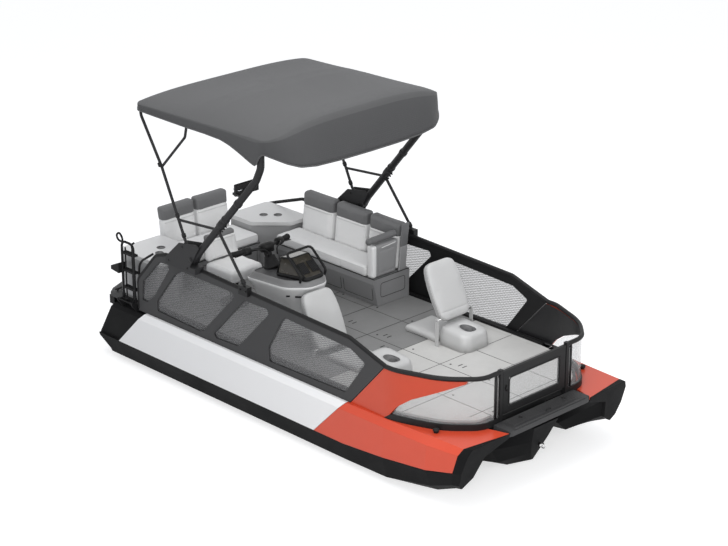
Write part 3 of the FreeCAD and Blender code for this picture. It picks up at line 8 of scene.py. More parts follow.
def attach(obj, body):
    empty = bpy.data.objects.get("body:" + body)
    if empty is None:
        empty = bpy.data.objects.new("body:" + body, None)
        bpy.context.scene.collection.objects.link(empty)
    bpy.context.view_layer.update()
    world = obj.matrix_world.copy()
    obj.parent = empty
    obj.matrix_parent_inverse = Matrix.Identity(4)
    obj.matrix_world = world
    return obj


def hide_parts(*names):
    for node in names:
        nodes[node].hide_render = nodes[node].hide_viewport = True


# The boat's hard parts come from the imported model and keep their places. This section sets up
# the studio: a pale floor under the keels, a soft overhead light and the photographer's camera,
# which stood about twenty metres off the starboard bow with a long lens.
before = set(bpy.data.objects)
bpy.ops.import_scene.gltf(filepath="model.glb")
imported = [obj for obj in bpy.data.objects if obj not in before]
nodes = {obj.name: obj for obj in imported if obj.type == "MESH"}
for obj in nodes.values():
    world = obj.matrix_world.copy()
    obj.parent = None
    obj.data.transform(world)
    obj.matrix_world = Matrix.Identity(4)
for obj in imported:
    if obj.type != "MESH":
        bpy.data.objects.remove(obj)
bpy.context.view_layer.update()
scene = bpy.context.scene
scene.view_settings.view_transform = "Standard"

camera_data = bpy.data.cameras.new("studio_camera")
camera_data.sensor_width = 36.0
camera_data.lens = 105.97
camera_data.clip_end = 200.0
camera = bpy.data.objects.new("studio_camera", camera_data)
camera.location = (14.351, -13.742, 9.157)
camera.rotation_euler = (math.radians(90 - 21.554), 0.0, math.radians(45.819))
scene.collection.objects.link(camera)
scene.camera = camera


def add_node(tree, kind, **settings):
    """A shader node with its sockets or options set by name."""
    node = tree.nodes.new(kind)
    for key, value in settings.items():
        if key in node.inputs:
            node.inputs[key].default_value = value
        else:
            setattr(node, key, value)
    return node


def worked(tree, operation, *values):
    """What a maths node makes of its inputs, each a socket or a plain number."""
    node = add_node(tree, "ShaderNodeMath", operation=operation)
    for slot, value in zip(node.inputs, values):
        if isinstance(value, bpy.types.NodeSocket):
            tree.links.new(value, slot)
        else:
            slot.default_value = value
    return node.outputs[0]


world = bpy.data.worlds.new("studio")
scene.world = world
world.use_nodes = True
sky = world.node_tree
sky.nodes.clear()
sky_out = add_node(sky, "ShaderNodeOutputWorld")
light_path = add_node(sky, "ShaderNodeLightPath")
ambient = add_node(sky, "ShaderNodeBackground", Color=(0.93, 0.95, 1.0, 1.0), Strength=0.6)
backdrop = add_node(sky, "ShaderNodeBackground", Color=(1.0, 1.0, 1.0, 1.0), Strength=1.0)
pick = add_node(sky, "ShaderNodeMixShader")
seen = worked(sky, "MAXIMUM", light_path.outputs["Is Camera Ray"], light_path.outputs["Is Glossy Ray"])
seen_all = worked(sky, "MAXIMUM", seen, light_path.outputs["Is Transmission Ray"])
sky.links.new(seen_all, pick.inputs[0])
sky.links.new(ambient.outputs[0], pick.inputs[1])
sky.links.new(backdrop.outputs[0], pick.inputs[2])
sky.links.new(pick.outputs[0], sky_out.inputs[0])


def lamp(name, energy, place, target, size):
    """A softbox at a place, turned to a target, with its width and depth."""
    data = bpy.data.lights.new(name, "AREA")
    data.energy = energy
    data.shape = "RECTANGLE"
    data.size, data.size_y = size
    thing = bpy.data.objects.new(name, data)
    thing.location = place
    thing.rotation_euler = (Vector(target) - Vector(place)).to_track_quat("-Z", "Y").to_euler()
    scene.collection.objects.link(thing)
    return thing


lamp("overhead_softbox", 400.0, (1.0, -1.5, 8.5), (0, 0, 0.5), (7.0, 6.0))
lamp("side_softbox", 60.0, (1.5, -9.5, 4.5), (0.3, 0, 1.0), (7.0, 4.0))
lamp("cabin_softbox", 230.0, (6.5, -6.0, 3.4), (-1.3, 0.4, 1.2), (2.5, 1.6))
under_canopy = lamp("under_canopy", 9.0, (-1.0, 0.0, 2.44), (-1.0, 0.35, 0.9), (1.5, 1.5))
under_canopy.visible_camera = False
lamp("bow_softbox", 150.0, (10.0, 2.5, 4.5), (1.5, 0, 0.9), (4.0, 3.5))

# The paper floor glows for the camera and for reflections only, so it lights nothing from below.
floor_half, paper_grey = 60.0, 0.62
floor_mesh = bpy.data.meshes.new("studio_floor")
floor_corners = [(x * floor_half, y * floor_half, 0.0) for x, y in ((-1, -1), (1, -1), (1, 1), (-1, 1))]
floor_mesh.from_pydata(floor_corners, [], [(0, 1, 2, 3)])
floor = bpy.data.objects.new("studio_floor", floor_mesh)
scene.collection.objects.link(floor)
paper = bpy.data.materials.new("studio_paper")
paper.use_nodes = True
tree = paper.node_tree
tree.nodes.clear()
paper_out = add_node(tree, "ShaderNodeOutputMaterial")
paper_matt = add_node(tree, "ShaderNodeBsdfDiffuse", Color=(paper_grey, paper_grey, paper_grey, 1.0))
paper_glow = add_node(tree, "ShaderNodeEmission", Color=(1.0, 1.0, 1.0, 1.0), Strength=paper_grey)
paper_dark = add_node(tree, "ShaderNodeEmission", Color=(0.0, 0.0, 0.0, 1.0), Strength=0.0)
paper_path = add_node(tree, "ShaderNodeLightPath")
paper_pick = add_node(tree, "ShaderNodeMixShader")
paper_sum = add_node(tree, "ShaderNodeAddShader")
paper_seen = worked(tree, "MAXIMUM", paper_path.outputs["Is Camera Ray"],
                    paper_path.outputs["Is Glossy Ray"])
tree.links.new(paper_seen, paper_pick.inputs[0])
tree.links.new(paper_dark.outputs[0], paper_pick.inputs[1])
tree.links.new(paper_glow.outputs[0], paper_pick.inputs[2])
tree.links.new(paper_matt.outputs[0], paper_sum.inputs[0])
tree.links.new(paper_pick.outputs[0], paper_sum.inputs[1])
tree.links.new(paper_sum.outputs[0], paper_out.inputs[0])
floor_mesh.materials.append(paper)


# The three hulls are blow-moulded black plastic with a fine pebbled skin, under white side panels
# and red bow caps that are screwed on along their ledges. The engine is a plain casting inside.
def finish_of(name, colour, rough, vary=0.06, grain=900.0, bump=0.08, patch=2.5, coat=0.0, metal=0.0,
              round_edges=0.0, shine=0.5):
    """A moulded or painted finish: slight colour drift, uneven gloss, a fine grain and soft edges."""
    material = bpy.data.materials.new(name)
    material.use_nodes = True
    tree = material.node_tree
    shader = tree.nodes["Principled BSDF"]
    shader.inputs["Metallic"].default_value = metal
    shader.inputs["Coat Weight"].default_value = coat
    shader.inputs["Specular IOR Level"].default_value = shine
    place = add_node(tree, "ShaderNodeTexCoord")
    drift = add_node(tree, "ShaderNodeTexNoise", Scale=patch, Detail=5.0, Roughness=0.6)
    tint = add_node(tree, "ShaderNodeValToRGB")
    low, high = tint.color_ramp.elements
    low.position, high.position = 0.3, 0.72
    low.color = tuple(c * (1 - vary) for c in colour) + (1.0,)
    high.color = tuple(min(1.0, c * (1 + vary)) for c in colour) + (1.0,)
    gloss = add_node(tree, "ShaderNodeMapRange")
    gloss.inputs["To Min"].default_value = max(0.02, rough - vary)
    gloss.inputs["To Max"].default_value = min(1.0, rough + 1.3 * vary)
    pebble = add_node(tree, "ShaderNodeTexNoise", Scale=grain, Detail=2.0, Roughness=0.5)
    relief = add_node(tree, "ShaderNodeBump", Strength=bump, Distance=0.002)
    tree.links.new(place.outputs["Object"], drift.inputs["Vector"])
    tree.links.new(place.outputs["Object"], pebble.inputs["Vector"])
    tree.links.new(drift.outputs["Fac"], tint.inputs["Fac"])
    tree.links.new(drift.outputs["Fac"], gloss.inputs["Value"])
    tree.links.new(tint.outputs["Color"], shader.inputs["Base Color"])
    tree.links.new(gloss.outputs["Result"], shader.inputs["Roughness"])
    tree.links.new(pebble.outputs["Fac"], relief.inputs["Height"])
    if round_edges:
        edge = add_node(tree, "ShaderNodeBevel", samples=4)
        edge.inputs["Radius"].default_value = round_edges
        tree.links.new(edge.outputs["Normal"], relief.inputs["Normal"])
    tree.links.new(relief.outputs["Normal"], shader.inputs["Normal"])
    return material


def paint(node, material):
    """Gives a carried-over piece its finish."""
    mesh = nodes[node].data
    mesh.materials.clear()
    mesh.materials.append(material)


hull_black = finish_of("hull_black", (0.0045, 0.0046, 0.005), rough=0.62, vary=0.18, grain=420.0,
                       bump=0.22, round_edges=0.006, shine=0.1)
panel_white = finish_of("panel_white", (0.76, 0.76, 0.76), rough=0.26, vary=0.003, grain=1200.0, bump=0.02,
                        patch=0.6, round_edges=0.005)
cap_red = finish_of("cap_red", (0.56, 0.06, 0.025), rough=0.3, vary=0.03, grain=1200.0, bump=0.02,
                    round_edges=0.006, shine=0.4)
paint("sponsons", hull_black)
paint("center_hull", hull_black)
paint("side_panels", panel_white)
paint("bow_caps", cap_red)
engine_casting = finish_of("engine_casting", (0.2, 0.2, 0.2), rough=0.55, vary=0.1, grain=300.0, bump=0.3,
                           metal=0.6)
paint("engine_block", engine_casting)


def add_piece(name, points, faces, material, body="boat", smooth=True):
    """A new piece from its points and faces, which rides with one body of the boat."""
    mesh = bpy.data.meshes.new(name)
    mesh.from_pydata([tuple(p) for p in points], [], [tuple(f) for f in faces])
    mesh.update()
    if smooth:
        mesh.shade_smooth()
    mesh.materials.append(material)
    thing = bpy.data.objects.new(name, mesh)
    scene.collection.objects.link(thing)
    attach(thing, body)
    return thing


def settle(thing):
    """Turns a piece's modifiers into plain mesh."""
    graph = bpy.context.evaluated_depsgraph_get()
    done = bpy.data.meshes.new_from_object(thing.evaluated_get(graph))
    old = thing.data
    thing.modifiers.clear()
    thing.data = done
    done.shade_smooth()
    done.name = thing.name
    if old.users == 0:
        bpy.data.meshes.remove(old)


def joined(name, makers, material, body="boat"):
    """One piece from several small shapes, each given as its points and faces."""
    points, faces = [], []
    for more_points, more_faces in makers:
        start = len(points)
        points += more_points
        faces += [tuple(i + start for i in f) for f in more_faces]
    return add_piece(name, points, faces, material, body)


forward, leftward, upward = (1, 0, 0), (0, 1, 0), (0, 0, 1)


def lathe(base, axis, profile, steps=20):
    """A turned shape: (distance along the axis, radius) pairs spun round it."""
    along = Vector(axis).normalized()
    side = along.orthogonal().normalized()
    other = along.cross(side)
    points, faces = [], []
    for far, radius in profile:
        for i in range(steps):
            turn = 2 * math.pi * i / steps
            spoke = side * math.cos(turn) + other * math.sin(turn)
            points.append(tuple(Vector(base) + along * far + spoke * radius))
    for row in range(len(profile) - 1):
        for i in range(steps):
            j = (i + 1) % steps
            faces.append((row * steps + i, row * steps + j, (row + 1) * steps + j, (row + 1) * steps + i))
    faces.append(tuple(range(steps))[::-1])
    faces.append(tuple((len(profile) - 1) * steps + i for i in range(steps)))
    return points, faces


def bar(path, radius, sides=10, flat=1.0, closed=False):
    """A round or flattened bar along a path of points, with plain ends."""
    count = len(path)
    runs = [Vector(p) for p in path]
    points, faces = [], []
    normal = None
    for i, at in enumerate(runs):
        ahead = runs[(i + 1) % count] if closed or i + 1 < count else at
        behind = runs[i - 1] if closed or i > 0 else at
        along = (ahead - behind).normalized()
        if normal is None:
            normal = along.orthogonal().normalized()
            if abs(along.z) < 0.9:
                normal = (Vector((0, 0, 1)) - along * along.z).normalized()
        else:
            normal = (normal - along * normal.dot(along)).normalized()
        other = along.cross(normal)
        for k in range(sides):
            turn = 2 * math.pi * (k + 0.5) / sides
            points.append(tuple(at + normal * math.cos(turn) * radius * flat
                                + other * math.sin(turn) * radius))
    rows = count if closed else count - 1
    for i in range(rows):
        j = (i + 1) % count
        for k in range(sides):
            m = (k + 1) % sides
            faces.append((i * sides + k, i * sides + m, j * sides + m, j * sides + k))
    if not closed:
        faces.append(tuple(range(sides))[::-1])
        faces.append(tuple((count - 1) * sides + k for k in range(sides)))
    return points, faces


def rounded(before, corner, after, turn, steps):
    """Points of the curve that takes a corner off, which ends short of the middle of its sides."""
    reach = min(turn, (before - corner).length * 0.48, (after - corner).length * 0.48)
    start = corner + (before - corner).normalized() * reach
    stop = corner + (after - corner).normalized() * reach
    parts = [i / steps for i in range(steps + 1)]
    return [tuple(start * (1 - part) ** 2 + corner * 2 * part * (1 - part) + stop * part ** 2)
            for part in parts]


def bent(corners, turn, steps=6):
    """Points along straight runs whose corners are rounded."""
    line = [Vector(p) for p in corners]
    path = [tuple(line[0])]
    for before, corner, after in zip(line, line[1:], line[2:]):
        path += rounded(before, corner, after, turn, steps)
    return path + [tuple(line[-1])]


# Each bow cap carries a black rubber mooring knob near its inner edge, and a bright steel towing
# eye is bolted through the nose of the centre hull.
rub_black = finish_of("rub_black", (0.012, 0.012, 0.0125), rough=0.6, vary=0.1, grain=300.0, bump=0.2,
                      shine=0.2)
steel = finish_of("bright_steel", (0.55, 0.55, 0.55), rough=0.25, vary=0.05, grain=300.0, bump=0.05,
                  metal=1.0)
knob_x, knob_y, cap_top = 2.2, 1.02, 0.652
knob_profile = [(0, 0.022), (0.012, 0.022), (0.02, 0.03), (0.034, 0.032), (0.042, 0.022), (0.044, 0.006)]
knobs = [lathe((knob_x, knob_y * side, cap_top), upward, knob_profile, 18) for side in (-1, 1)]
joined("cap_knobs", knobs, rub_black)


def circle(centre, radius, count):
    """Evenly spaced points round a circle."""
    turns = [2 * math.pi * i / count for i in range(count)]
    return [(centre[0] + radius * math.cos(turn), centre[1] + radius * math.sin(turn)) for turn in turns]


eye_x, eye_z, eye_radius = 2.607, 0.315, 0.024
eye = [(x, 0.0, z) for x, z in circle((eye_x, eye_z), eye_radius, 24)]
eye_shank = lathe((2.56, 0, eye_z), forward, [(0, 0.02), (0.035, 0.016)])
joined("bow_eye", [bar(eye, 0.006, 8, closed=True), eye_shank], steel)

# The deck is a black extruded frame with loose-laid square plastic tiles, mid grey aft and light
# warm grey at the bow, each with moulded sockets, and a black accessory track down each side.
deck_black = finish_of("deck_black", (0.008, 0.008, 0.0085), rough=0.55, vary=0.1, grain=500.0, bump=0.15,
                       round_edges=0.002, shine=0.2)
tile_dark = finish_of("tile_dark", (0.215, 0.215, 0.213), rough=0.62, vary=0.06, grain=260.0, bump=0.5,
                      patch=6.0, round_edges=0.002)
tile_light = finish_of("tile_light", (0.52, 0.515, 0.5), rough=0.6, vary=0.045, grain=260.0, bump=0.5,
                       patch=6.0, round_edges=0.002)
step_grey = finish_of("step_grey", (0.036, 0.036, 0.037), rough=0.55, vary=0.08, grain=500.0, bump=0.4,
                      round_edges=0.006, shine=0.35)
paint("deck_frame", deck_black)
paint("deck_tracks", deck_black)
paint("deck_tiles_dark", tile_dark)
paint("deck_tiles_light", tile_light)
paint("bow_step", step_grey)
paint("stern_platform", step_grey)

deck_top, deck_half, tile_seam = 0.72, 1.035, 0.0042
tile_edge_x = [-1.265, -0.759, -0.253, 0.253, 0.757, 1.265, 1.773, 2.281]
tile_edge_y = [-0.497, 0.0, 0.497]
socket_profile = [(0, 0.011), (0.0022, 0.011), (0.0026, 0.008), (0.0012, 0.007)]
slot_places = ((0.42, 0.12), (0.42, 0.62), (-0.08, 0.12), (-0.6, 0.12), (0.6, -0.1), (1.45, 0.12),
               (1.95, 0.12))
socket_rings, socket_slots = [], []
for x in tile_edge_x:
    for y in tile_edge_y:
        under_lounger = abs(x - 1.0) < 0.35 and abs(y) > 0.3
        if not under_lounger:
            socket = (x + 0.075, y + 0.07, deck_top - 0.001)
            socket_rings.append(lathe(socket, upward, socket_profile, 14))
for x, y in slot_places:
    for step in (-0.028, 0.028):
        slot = [(x + step, y + end, deck_top + 0.0005) for end in (-0.03, 0.03)]
        socket_slots.append(bar(slot, 0.006, 8, flat=0.25))
joined("tile_sockets", socket_rings + socket_slots, deck_black)
seam_z = deck_top - 0.0001
seam_lines = [[(x, -deck_half, seam_z), (x, deck_half, seam_z)] for x in tile_edge_x[:-1]]
seam_lines.append([(tile_edge_x[-1], -0.66, seam_z), (tile_edge_x[-1], 0.66, seam_z)])
seam_lines += [[(-2.285, y, seam_z), (2.4, y, seam_z)] for y in tile_edge_y]
joined("tile_seams", [bar(line, tile_seam, 6, flat=0.12) for line in seam_lines], deck_black)

# The bow step is a ribbed black moulding, screwed to the deck's end. A black latch is screwed on in
# its middle, with a round pad and a short bar on each side of it.
step_half, step_top, latch_x = 0.48, 0.7, 2.655
ribs = []
for i in range(7):
    x = 2.53 + i * 0.021
    ribs.append(bar([(x, -step_half, step_top + 0.0005), (x, step_half, step_top + 0.0005)], 0.004, 8,
                    flat=0.45))
for z in (0.686, 0.664):
    ribs.append(bar([(2.6885, -0.5, z), (2.6885, 0.5, z)], 0.005, 8))
joined("step_ribs", ribs, step_grey)
latch_path = [(latch_x, y, step_top + z) for y, z in ((-0.03, 0), (-0.03, 0.011), (0.03, 0.011), (0.03, 0))]
latch = [bar(bent(latch_path, 0.01), 0.006, 8)]
for y in (-0.3, 0.3):
    latch.append(lathe((2.58, y, step_top - 0.001), upward, [(0, 0.02), (0.004, 0.02), (0.006, 0.012)], 18))
    latch.append(bar([(2.56, y, step_top + 0.004), (2.6, y, step_top + 0.004)], 0.004, 8))
joined("step_latch", latch, rub_black)

# The fences are powder-coated dark grey panels under a black round rail, with see-through mesh
# cloth in their windows. At the bow red corner skins run into clear plastic above a black sill.
fence_grey = finish_of("fence_grey", (0.044, 0.044, 0.045), rough=0.55, vary=0.06, grain=900.0, bump=0.12,
                       round_edges=0.004, shine=0.18)
rail_black = finish_of("rail_black", (0.01, 0.01, 0.0105), rough=0.5, vary=0.08, grain=900.0, bump=0.1,
                       shine=0.22)
frame_black = finish_of("frame_black", (0.009, 0.009, 0.0095), rough=0.5, vary=0.08, grain=900.0, bump=0.1,
                        shine=0.22)


def recoloured(material, mask, colour, keep="A", second="B"):
    """Lays a second colour over a finish by a mask: input A shows at 0 and input B at 1."""
    tree = material.node_tree
    shader = tree.nodes["Principled BSDF"]
    swap = add_node(tree, "ShaderNodeMix", data_type="RGBA")
    swap.inputs[second].default_value = colour
    source = shader.inputs["Base Color"].links[0].from_socket
    tree.links.new(mask, swap.inputs["Factor"])
    tree.links.new(source, swap.inputs[keep])
    tree.links.new(swap.outputs["Result"], shader.inputs["Base Color"])
    return material


def railed(material, plane, half, dark, up_facing=0.25):
    """A darker colour on the tube along a panel's edge: what stands proud of the panel or faces up."""
    tree = material.node_tree
    place = add_node(tree, "ShaderNodeTexCoord")
    spot = add_node(tree, "ShaderNodeSeparateXYZ")
    face = add_node(tree, "ShaderNodeNewGeometry")
    lean = add_node(tree, "ShaderNodeSeparateXYZ")
    tree.links.new(place.outputs["Object"], spot.inputs["Vector"])
    tree.links.new(face.outputs["True Normal"], lean.inputs["Vector"])
    away = worked(tree, "SUBTRACT", worked(tree, "ABSOLUTE", spot.outputs["Y"]), plane)
    proud = worked(tree, "GREATER_THAN", worked(tree, "ABSOLUTE", away), half)
    level = worked(tree, "GREATER_THAN", lean.outputs["Z"], up_facing)
    return recoloured(material, worked(tree, "MAXIMUM", proud, level), dark)


panel_plane, panel_half = 1.12, 0.0174
paint("fence_starboard", railed(fence_grey, panel_plane, panel_half, (0.008, 0.008, 0.0085, 1.0)))
paint("fence_port", frame_black)
paint("bow_rails", frame_black)
paint("bow_gate", frame_black)
corner_red = finish_of("corner_red", (0.49, 0.05, 0.017), rough=0.34, vary=0.04, grain=1200.0, bump=0.03,
                       shine=0.4)


def two_faced(material, inner, middle):
    """A second colour on the faces that look to a middle point, here the deck side of the skins."""
    tree = material.node_tree
    place = add_node(tree, "ShaderNodeTexCoord")
    face = add_node(tree, "ShaderNodeNewGeometry")
    centre = add_node(tree, "ShaderNodeVectorMath", operation="SUBTRACT")
    centre.inputs[1].default_value = middle
    facing = add_node(tree, "ShaderNodeVectorMath", operation="DOT_PRODUCT")
    tree.links.new(place.outputs["Object"], centre.inputs[0])
    tree.links.new(centre.outputs[0], facing.inputs[0])
    tree.links.new(face.outputs["True Normal"], facing.inputs[1])
    return recoloured(material, worked(tree, "LESS_THAN", facing.outputs["Value"], 0.0), inner)


bow_middle = (1.2, 0.0, 0.9)
paint("corner_panels", two_faced(corner_red, (0.012, 0.012, 0.013, 1.0), bow_middle))


def net_of(name, colour, thread, open_share, pitch, tilt, rough):
    """See-through cloth or printed film: crossed threads with gaps that let the view through.
    Thread and open share are how solid it is on a thread and in a gap."""
    material = finish_of(name, colour, rough=rough, vary=0.05, grain=900.0, bump=0.1, shine=0.3)
    tree = material.node_tree
    shader = tree.nodes["Principled BSDF"]
    place = add_node(tree, "ShaderNodeTexCoord")
    threads = []
    # A wave texture draws about three bands a metre at scale one.
    for angle in (tilt, tilt + math.radians(68)):
        turn = add_node(tree, "ShaderNodeMapping")
        turn.inputs["Rotation"].default_value = (0.0, angle, 0.0)
        wave = add_node(tree, "ShaderNodeTexWave", wave_type="BANDS", bands_direction="X", Distortion=0.0)
        wave.inputs["Scale"].default_value = 1.0 / (3.0 * pitch)
        tree.links.new(place.outputs["Object"], turn.inputs["Vector"])
        tree.links.new(turn.outputs["Vector"], wave.inputs["Vector"])
        threads.append(wave.outputs["Fac"])
    gap = add_node(tree, "ShaderNodeMapRange")
    gap.inputs["From Min"].default_value = 0.15
    gap.inputs["From Max"].default_value = 0.55
    gap.inputs["To Min"].default_value = thread
    gap.inputs["To Max"].default_value = open_share
    tree.links.new(worked(tree, "MULTIPLY", *threads), gap.inputs["Value"])
    tree.links.new(gap.outputs["Result"], shader.inputs["Alpha"])
    return material


mesh_tilt = math.radians(35)
mesh_cloth = net_of("mesh_cloth", (0.2, 0.2, 0.202), thread=0.52, open_share=0.13, pitch=0.02,
                    tilt=mesh_tilt, rough=0.6)
paint("fence_windows", mesh_cloth)
clear_sheet = net_of("clear_sheet", (0.5, 0.5, 0.5), thread=0.22, open_share=0.12, pitch=0.01, tilt=0.0,
                     rough=0.14)
paint("bow_windows", clear_sheet)
gate_film = net_of("gate_film", (0.55, 0.55, 0.55), thread=0.26, open_share=0.16, pitch=0.01, tilt=0.0,
                   rough=0.16)
paint("gate_window", gate_film)


# The sun canopy is one acrylic sheet, sewn with rounded corners and hemmed skirts, pulled tight
# over three cross bows. Its skirt runs down in a tail beside each main strut.
canopy_cloth = finish_of("canopy_cloth", (0.08, 0.0805, 0.0815), rough=0.82, vary=0.035, grain=1300.0,
                         bump=0.25, patch=1.4, shine=0.25)


def weave_of(material, pitch, depth):
    """Adds a plain weave, crossed threads a pitch apart, to a cloth's relief."""
    tree = material.node_tree
    shader = tree.nodes["Principled BSDF"]
    place = add_node(tree, "ShaderNodeTexCoord")
    threads = []
    for direction in ("X", "Y"):
        wave = add_node(tree, "ShaderNodeTexWave", wave_type="BANDS", bands_direction=direction,
                        Distortion=0.4)
        wave.inputs["Scale"].default_value = 0.31 / pitch
        tree.links.new(place.outputs["Object"], wave.inputs["Vector"])
        threads.append(wave.outputs["Fac"])
    height = worked(tree, "ADD", *threads)
    relief = add_node(tree, "ShaderNodeBump", Strength=depth, Distance=0.001)
    before = shader.inputs["Normal"].links[0].from_socket
    tree.links.new(before, relief.inputs["Normal"])
    tree.links.new(height, relief.inputs["Height"])
    tree.links.new(relief.outputs["Normal"], shader.inputs["Normal"])
    shader.inputs["Sheen Weight"].default_value = 0.15


weave_pitch, weave_depth = 0.004, 0.3
weave_of(canopy_cloth, weave_pitch, weave_depth)
# The skirts get a darker copy of the same cloth: painted shade on the sides, which face away from the
# overhead light.
canopy_side_shade = finish_of("canopy_side_shade", (0.062, 0.0625, 0.064), rough=0.84, vary=0.035, grain=1300.0,
                        bump=0.25, patch=1.4, shine=0.22)
weave_of(canopy_side_shade, weave_pitch, weave_depth)
canopy_half, canopy_aft, canopy_fore = 1.156, -1.856, 0.165
front_turn, aft_turn, crease_drop = 0.17, 0.06, 0.022
bow_lines = (-1.81, -1.08, -0.045)
cloth_back, cloth_long, cloth_half, cloth_thick = 1.86, 2.03, 1.16, 0.004
cloth_base, cloth_rise, cloth_crown, cloth_slack, crown_power = 2.9415, 0.04, 0.137, 0.011, 3.7


def smooth_step(low, high, value):
    """Eases from 0 at the low value to 1 at the high one."""
    part = min(1.0, max(0.0, (value - low) / (high - low)))
    return part * part * (3 - 2 * part)


def canopy_height(x, y):
    """Height of the cloth's top: crowned across, rising to the front, slack between its bows."""
    share = (x + cloth_back) / cloth_long
    across = min(1.0, abs(y) / cloth_half)
    crown = (1 - across ** crown_power) * cloth_crown * min(1.0, 0.35 + share * 1.3)
    slack = 0.0
    for back, fore in zip(bow_lines, bow_lines[1:]):
        if back < x < fore:
            part = (x - back) / (fore - back)
            slack = cloth_slack * math.sin(math.pi * part) ** 0.8 * (1 - across ** 6)
    return cloth_base + cloth_rise * share + crown - slack


def canopy_plan(turn):
    """A point of the canopy's square plan, by its share of a turn round the edge."""
    straight = canopy_fore - canopy_aft
    far = turn * (2 * straight + 4 * canopy_half)
    if far < canopy_half:
        return canopy_fore, far
    if far < canopy_half + straight:
        return canopy_fore - (far - canopy_half), canopy_half
    if far < 3 * canopy_half + straight:
        return canopy_aft, canopy_half - (far - canopy_half - straight)
    if far < 3 * canopy_half + 2 * straight:
        return canopy_aft + (far - 3 * canopy_half - straight), -canopy_half
    return canopy_fore, -canopy_half + (far - 3 * canopy_half - 2 * straight)


def round_corner(x, y):
    """Pulls a plan point in so that the plan's corners are rounded."""
    for edge, size in ((canopy_fore, front_turn), (canopy_aft, aft_turn)):
        inner_x = edge - size if edge == canopy_fore else edge + size
        inner_y = canopy_half - size
        past_x = (x - inner_x) if edge == canopy_fore else (inner_x - x)
        past_y = abs(y) - inner_y
        if past_x > 0 and past_y > 0:
            far = math.hypot(past_x, past_y)
            pull = max(past_x, past_y) / far
            past_x, past_y = past_x * pull, past_y * pull
            x = inner_x + past_x if edge == canopy_fore else inner_x - past_x
            y = math.copysign(inner_y + past_y, y)
    return x, y


# The hem's height: along the sides by x, with a tail beside each strut, and along the front by y.
side_hem = [(-1.86, 2.848), (-1.6, 2.843), (-1.05, 2.838), (-0.8, 2.84), (-0.565, 2.833), (-0.45, 2.812),
            (-0.35, 2.782), (-0.28, 2.758), (-0.208, 2.731), (-0.14, 2.706), (-0.09, 2.69), (-0.07, 2.688),
            (-0.055, 2.7), (-0.01, 2.78), (0.03, 2.818), (0.1, 2.83)]
front_hem = [(0.0, 2.652), (0.4, 2.655), (0.7, 2.668), (0.9, 2.7), (1.02, 2.745), (1.1, 2.79), (1.16, 2.82)]
aft_hem = 2.872


def along_table(table, at):
    """Reads a value between the rows of a short table."""
    for (x0, z0), (x1, z1) in zip(table, table[1:]):
        if at <= x1:
            part = min(1.0, max(0.0, (at - x0) / (x1 - x0)))
            return z0 + (z1 - z0) * part
    return table[-1][1]


def hem_height(x, y, at_front):
    """Height of the hem below a point of the crease line."""
    if at_front or x > 0.0:
        blend = smooth_step(0.0, 0.12, x)
        return along_table(side_hem, x) * (1 - blend) + along_table(front_hem, abs(y)) * blend
    if x < canopy_aft + 0.02:
        return aft_hem
    return along_table(side_hem, x)


# Rings of points run from the spine out to the crease line, and then down the skirts to the hem.
around, deep, inner_rings, spine_in = 360, 12, 26, 0.7
front_reach, skirt_bulge, skirt_out = 0.128, 0.004, 0.003
rings = []
for ring in range(1, inner_rings + 1):
    share = math.sin(math.pi / 2 * ring / inner_rings) ** 0.9
    line = []
    for i in range(around):
        x, y = round_corner(*canopy_plan(i / around))
        spine_x = max(canopy_aft + spine_in, min(canopy_fore - spine_in, x))
        x, y = spine_x + (x - spine_x) * share, y * share
        line.append((x, y, canopy_height(x, y) - crease_drop * share ** 14))
    rings.append(line)
for step in range(1, deep + 1):
    part = step / deep
    bulge = skirt_bulge * math.sin(math.pi * part)
    roll = 1 - (1 - min(1.0, part / 0.25)) ** 2
    fall = 0.3 * part ** 2 + 0.7 * part
    line = []
    for i in range(around):
        x, y = canopy_plan(i / around)
        at_front = x > canopy_fore - 1e-6
        x, y = round_corner(x, y)
        top = canopy_height(x, y) - crease_drop
        low = hem_height(x, y, at_front)
        reach = front_reach * smooth_step(0.02, 0.165, x) * (1 - 0.9 * smooth_step(0.86, 1.15, abs(y)))
        if abs(y) > canopy_half - 0.12 and x < 0.1:
            y += math.copysign(skirt_out * roll + bulge, y)
        x_out = reach * part ** 0.85 + bulge * smooth_step(0.0, 0.1, x)
        line.append((x + x_out, y, top + (low - top) * fall))
    rings.append(line)
points = [p for line in rings for p in line]
faces = []
for row in range(len(rings) - 1):
    for i in range(around):
        j = (i + 1) % around
        faces.append((row * around + i, (row + 1) * around + i, (row + 1) * around + j, row * around + j))
faces.append(tuple(range(around)))
canopy = add_piece("canopy_sheet", points, faces, canopy_cloth, "canopy")
# The skirt faces take the darker copy of the cloth, as painted shade.
canopy.data.materials.append(canopy_side_shade)
for number, face in enumerate(canopy.data.polygons):
    if (inner_rings + 1) * around <= number < (len(rings) - 1) * around:
        face.material_index = 1
thick = canopy.modifiers.new("cloth", "SOLIDIFY")
thick.thickness = cloth_thick
thick.offset = -1.0
settle(canopy)
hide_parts("canopy_cover")
hem_line = [(x, y, z + cloth_thick) for x, y, z in rings[-1]]
hem = joined("canopy_hem", [bar(hem_line, 0.007, 8, closed=True)], canopy_cloth, "canopy")
bm = bmesh.new()
bm.from_mesh(canopy.data)
canopy_area = sum(f.calc_area() for f in bm.faces) / 2
bm.free()


